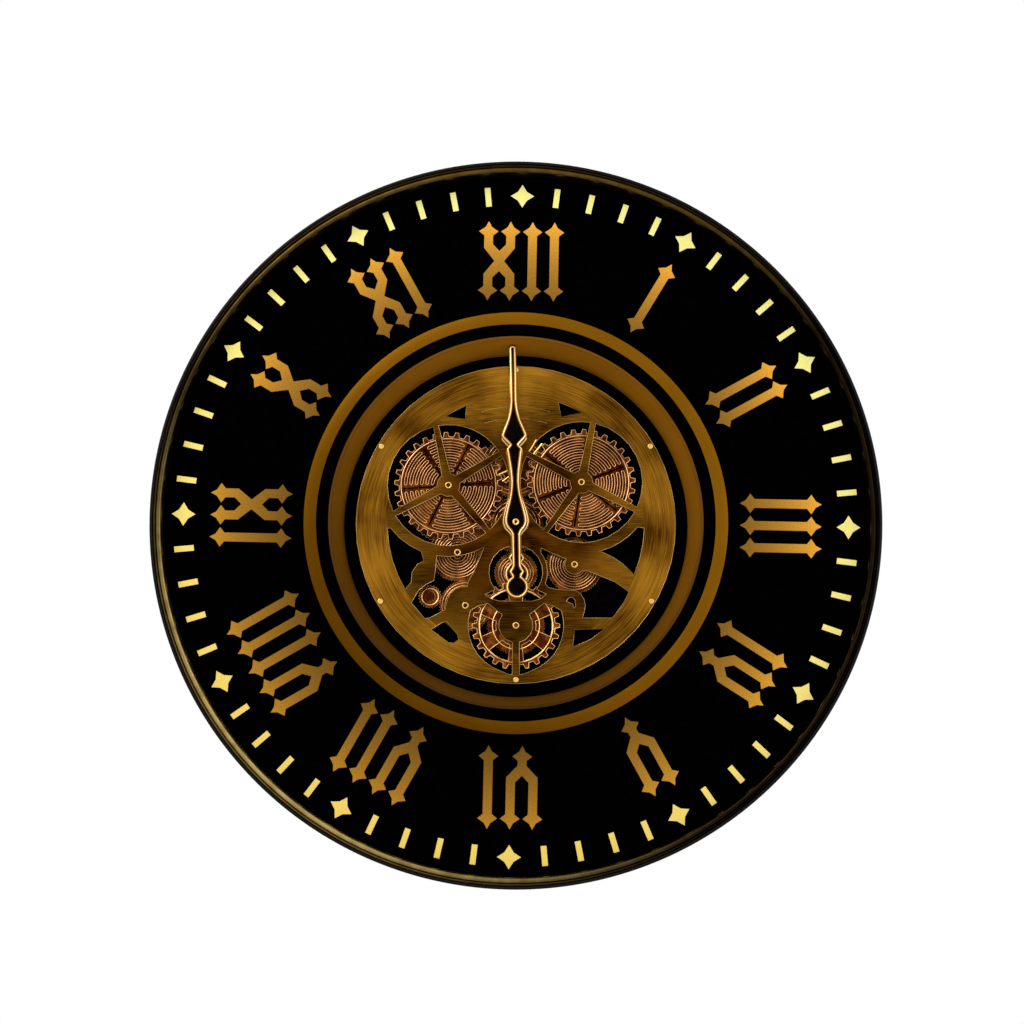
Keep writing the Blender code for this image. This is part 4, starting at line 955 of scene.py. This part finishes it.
class CLOCK_OT_plate(bpy.types.Operator):
    """Draws the bright edges of the front plate, and sets its screws, pivot collars, bars and plaque arcs"""

    bl_idname = "gear_clock.plate"
    bl_label = "Front plate"

    def execute(self, context):
        sizes, _ = settings()
        pivots = [(wheel_centre(node), PIVOT_BARE) for node in PIVOTS]
        edges = outlined("plate_edges", "front_plate", PLATE_FACE, sizes.plate_line, bare=pivots)
        settle(edges, "case", "plate_edge")
        head = (
            [(0.0, PLATE_FACE - 2.0), (1.2, PLATE_FACE - 2.0), (1.2, PLATE_FACE + 0.3), (2.3, PLATE_FACE + 0.3)]
            + rounded((1.9, PLATE_FACE + 1.0), 0.4, 0, 90, 4)
            + [(1.0, PLATE_FACE + 1.4), (0.9, PLATE_FACE + 0.7), (0.0, PLATE_FACE + 0.7)]
        )
        for number in range(1, 7):
            node = f"plate_screw_{number}"
            screw = turned(f"rim_screw_{number}", head, wheel_centre(node), 24)
            settle(screw, "case", "polished_gold", [node])
        ring = ring_section(1.7, 2.7, PLATE_FACE + 0.05, PLATE_FACE + 0.6, 0.2)
        for node in PIVOTS:
            collar = turned(f"{node}_collar", ring, wheel_centre(node), 32)
            settle(collar, "case", "polished_gold")
        for name, body, reach, ends in (
            ("plate_bars", "case", PLATE_FACE, PLATE_BARS),
            ("pinion_bars", body_of("great_pinion"), COARSE_FACE, PINION_BARS),
        ):
            bars = [drawn_bar(f"{name}_{i}", bar, reach + BAR_LIFT) for i, bar in enumerate(ends)]
            settle(joined(name, bars), body, "polished_gold")
        arcs = []
        for radius in ARC_RADII:
            turns = [ARC_START + ARC_SPAN * i / ARC_STEPS for i in range(ARC_STEPS + 1)]
            arcs.append(drawn(f"plaque_arc_{radius:.0f}", [on_circle(radius, turn, PLATE_FACE) for turn in turns]))
            bpy.ops.object.mode_set(mode="OBJECT")
        settle(wired(joined("plaque_arcs", arcs), ARC_WIDTH), "case", "plate_edge")
        return {"FINISHED"}


def long_loop(inner, outer, start, end):
    """A long closed loop between two radii, as (radius, angle) pairs, with half-round ends."""
    middle, half = (inner + outer) / 2, (outer - inner) / 2
    turn = math.degrees(half / middle)
    steps = 4 + round(middle / 4)
    along = [start + turn + (end - start - 2 * turn) * i / steps for i in range(steps + 1)]
    bend = [math.radians(45 * i) for i in (1, 2, 3)]
    far = [(middle + half * math.cos(a), end - turn + turn * math.sin(a)) for a in bend]
    near = [(middle - half * math.cos(a), start + turn - turn * math.sin(a)) for a in bend]
    return [(outer, a) for a in along] + far + [(inner, a) for a in reversed(along)] + near


def long_loops(name, centre, start, reach, sizes):
    """Fields of long loops round a wheel, each loop outside the one before it."""
    pitch = sizes.engraved_pitch * 1000
    field = 360 / FIELDS
    loops = []
    for row in range(LOOPS):
        inner = FIRST_LOOP + 2 * pitch * row
        margin = math.degrees((FIELD_GAP + FIELD_GAP_GROWTH * inner) / (inner + pitch / 2))
        points = [
            on_circle(radius, angle, reach, centre)
            for radius, angle in long_loop(inner, inner + pitch, start + margin, start + field - margin)
        ]
        loops.append(drawn(f"{name}_{row}", points + points[:1]))
        bpy.ops.mesh.remove_doubles(threshold=1e-6)
        bpy.ops.mesh.select_all(action="SELECT")
        turn = math.radians(360 - field)
        bpy.ops.mesh.spin(steps=FIELDS - 1, dupli=True, angle=turn, center=spot(*centre, 0), axis=(0, 1, 0))
        bpy.ops.object.mode_set(mode="OBJECT")
    return wired(joined(name, loops), sizes.engraved_line)


def engraved_ring(name, radius, width, face, centre):
    """A raised ring of half-round wire, on a face at that reach."""
    reach = face + RING_LIFT
    section = [(radius - width / 2, reach)] + rounded((radius, reach), width / 2, 180, 0, 4)
    return turned(name, section, centre, 96)


class CLOCK_OT_great_wheels(bpy.types.Operator):
    """Engraves the faces of the three coarse wheels and brightens their edges, and the pinion's"""

    bl_idname = "gear_clock.great_wheels"
    bl_label = "Coarse wheels"

    def execute(self, context):
        sizes, _ = settings()
        for node, start in GREAT_WHEELS:
            centre = wheel_centre(node)
            lines = [
                long_loops(node + "_engraving", centre, start, COARSE_FACE + FIELD_LIFT, sizes),
                engraved_ring(node + "_ring", GREAT_RING, RING_WIDTH, COARSE_FACE, centre),
            ]
            settle(joined(node + "_engraving", lines), body_of(node), "cut_line")
        centre = wheel_centre("bottom_wheel")
        rings = [
            engraved_ring(f"bottom_ring_{i}", radius, RING_WIDTH, COARSE_FACE, centre)
            for i, radius in enumerate(BOTTOM_RINGS)
        ]
        settle(joined("bottom_wheel_rings", rings), body_of("bottom_wheel"), "gold_line")
        for node, material, slot, inside in (
            ("great_wheel_left", "cut_line", "wheel_copper", GREAT_BARE),
            ("great_wheel_right", "cut_line", "wheel_copper", GREAT_BARE),
            ("bottom_wheel", "gold_line", "wheel_copper", 0.0),
            ("great_pinion", "cut_line", "driver_gold", 0.0),
        ):
            middle = [(wheel_centre(node), inside)]
            edges = outlined(node + "_edges", node, COARSE_FACE, sizes.edge_line, bare=middle)
            settle(edges, body_of(node), material)
        return {"FINISHED"}


class CLOCK_OT_fine_wheels(bpy.types.Operator):
    """Engraves rings on the fine wheels and brightens their teeth"""

    bl_idname = "gear_clock.fine_wheels"
    bl_label = "Fine wheels"

    def execute(self, context):
        sizes, _ = settings()
        width = 0.6 * sizes.edge_line
        for node, radii in FINE_WHEELS:
            driven = node == "motor_pinion"
            centre = wheel_centre(node)
            ring_width = RING_WIDTH if driven else FINE_RING_WIDTH
            lines = [
                engraved_ring(f"{node}_ring_{i}", radius, ring_width, FINE_FACE, centre)
                for i, radius in enumerate(radii)
            ]
            hub = [(centre, CENTRE_BARE if node == "centre_wheel" else 0.0)]
            lines.append(outlined(node + "_edges", node, FINE_FACE, width, bare=hub))
            material, slot = ("gold_line", "driver_gold") if driven else ("cut_line", "fine_copper")
            settle(joined(node + "_lines", lines), body_of(node), material)
        edges = outlined("toothed_ring_edges", "toothed_ring", TOOTHED_RING_FACE, width)
        settle(edges, "case", "cut_line")
        return {"FINISHED"}


class CLOCK_OT_hands(bpy.types.Operator):
    """Gives the hands their bright rims and bevels, and turns the cap"""

    bl_idname = "gear_clock.hands"
    bl_label = "Hands and cap"

    def execute(self, context):
        sizes, _ = settings()
        for node, reach in (("minute_hand", MINUTE_FACE), ("hour_hand", HOUR_FACE)):
            rim = outlined(node + "_rim", node, reach, sizes.hand_line)
            settle(rim, body_of(node), "hand_edge")
            bevel = outlined(node + "_bevel", node, reach, 2 * sizes.hand_line, sizes.hand_bevel)
            settle(bevel, body_of(node), "hand_bevel")
        cap = (
            [(1.3, MINUTE_FACE + 0.3), (2.8, MINUTE_FACE + 0.3)]
            + rounded((2.15, MINUTE_FACE + 1.85), 0.65, 0, 110, 6)
            + [(1.3, MINUTE_FACE + 2.2)]
        )
        settle(turned("cap_nut", cap, steps=48), body_of("hand_cap"), "polished_gold", ["hand_cap"])
        plug = (
            [(0.0, MINUTE_FACE + 1.7), (1.2, MINUTE_FACE + 1.7)]
            + rounded((0.9, MINUTE_FACE + 1.9), 0.3, 0, 90, 3)
            + [(0.0, MINUTE_FACE + 2.2)]
        )
        settle(turned("cap_plug", plug, steps=32), body_of("hand_cap"), "hand_enamel")
        return {"FINISHED"}


def lay_floor():
    """A pale floor under the clock."""
    bpy.ops.object.select_all(action="DESELECT")
    bpy.ops.mesh.primitive_plane_add(size=FLOOR_SIZE, location=(0, 0, FLOOR_LEVEL))
    floor = bpy.context.object
    floor.name = "floor"
    pale = bpy.data.materials.new("pale_floor")
    pale.use_nodes = True
    shader = pale.node_tree.nodes["Principled BSDF"]
    shader.inputs["Base Color"].default_value = (0.8, 0.8, 0.8, 1)
    shader.inputs["Roughness"].default_value = 0.6
    floor.data.materials.append(pale)


def set_lights():
    """Large soft lights that all face the middle of the clock."""
    for name, place, size, watts in LIGHTS:
        bpy.ops.object.light_add(type="AREA", location=place)
        light = bpy.context.object
        light.name = name
        light.data.size = size
        light.data.energy = watts
        light.rotation_euler = (-Vector(place)).to_track_quat("-Z", "Y").to_euler()


def white_world():
    """A world that lights softly, and is plain white where the camera or a mirror sees it."""
    world = bpy.data.worlds.new("studio")
    world.use_nodes = True
    tree = world.node_tree
    base = tree.nodes["Background"]
    base.inputs["Color"].default_value = (1, 1, 1, 1)
    base.inputs["Strength"].default_value = WORLD_STRENGTH
    white = add(tree, "Background", {"Color": (1, 1, 1, 1), "Strength": 1.0})
    path = add(tree, "LightPath")
    seen = path.outputs["Is Camera Ray"]
    for ray in ("Is Glossy Ray", "Is Transmission Ray"):
        seen = maths(tree, "MAXIMUM", seen, path.outputs[ray])
    mix = add(tree, "MixShader", {}, {0: seen, 1: base.outputs[0], 2: white.outputs[0]})
    tree.links.new(mix.outputs[0], tree.nodes["World Output"].inputs["Surface"])
    return world


def set_camera():
    """The camera of the photograph, below the middle of the dial and looking up."""
    azimuth, elevation = math.radians(CAMERA_AZIMUTH), math.radians(CAMERA_ELEVATION)
    across, away = math.sin(azimuth) * math.cos(elevation), math.cos(azimuth) * math.cos(elevation)
    back = Vector((across, -away, math.sin(elevation)))
    bpy.ops.object.camera_add(location=Vector(CAMERA_AIM) + CAMERA_DISTANCE * back)
    camera = bpy.context.object
    camera.rotation_euler = (-back).to_track_quat("-Z", "Y").to_euler()
    camera.data.lens = CAMERA_LENS
    camera.data.sensor_width = CAMERA_SENSOR
    return camera


class CLOCK_OT_stage(bpy.types.Operator):
    """Lays a pale floor, lights it softly and sets the camera below the middle of the dial"""

    bl_idname = "gear_clock.stage"
    bl_label = "Floor, lights and camera"

    def execute(self, context):
        lay_floor()
        set_lights()
        context.scene.world = white_world()
        context.scene.view_settings.view_transform = "Standard"
        context.scene.camera = set_camera()
        return {"FINISHED"}


STEPS = (
    CLOCK_OT_solids,
    CLOCK_OT_case,
    CLOCK_OT_dial,
    CLOCK_OT_numerals,
    CLOCK_OT_plate,
    CLOCK_OT_great_wheels,
    CLOCK_OT_fine_wheels,
    CLOCK_OT_hands,
    CLOCK_OT_stage,
)


class CLOCK_PT_panel(bpy.types.Panel):
    """Lists the steps, the sizes and the colours in the sidebar"""

    bl_label = "Gear wall clock"
    bl_space_type = "VIEW_3D"
    bl_region_type = "UI"
    bl_category = "Gear clock"

    def draw(self, context):
        for step in STEPS:
            self.layout.operator(step.bl_idname)
        for group in (context.scene.clock_sizes, context.scene.clock_colours):
            for name in type(group).__annotations__:
                self.layout.prop(group, name)


CLASSES = (ClockSizes, ClockColours, *STEPS, CLOCK_PT_panel)


def register():
    """Adds the classes, and gives each scene its sizes and colours."""
    for made in CLASSES:
        bpy.utils.register_class(made)
    bpy.types.Scene.clock_sizes = bpy.props.PointerProperty(type=ClockSizes)
    bpy.types.Scene.clock_colours = bpy.props.PointerProperty(type=ClockColours)


def unregister():
    """Takes away what register adds."""
    del bpy.types.Scene.clock_colours
    del bpy.types.Scene.clock_sizes
    for made in reversed(CLASSES):
        bpy.utils.unregister_class(made)


def main():
    """Runs every step in order."""
    register()
    for step in STEPS:
        group, name = step.bl_idname.split(".")
        getattr(getattr(bpy.ops, group), name)()


if __name__ == "__main__":
    main()
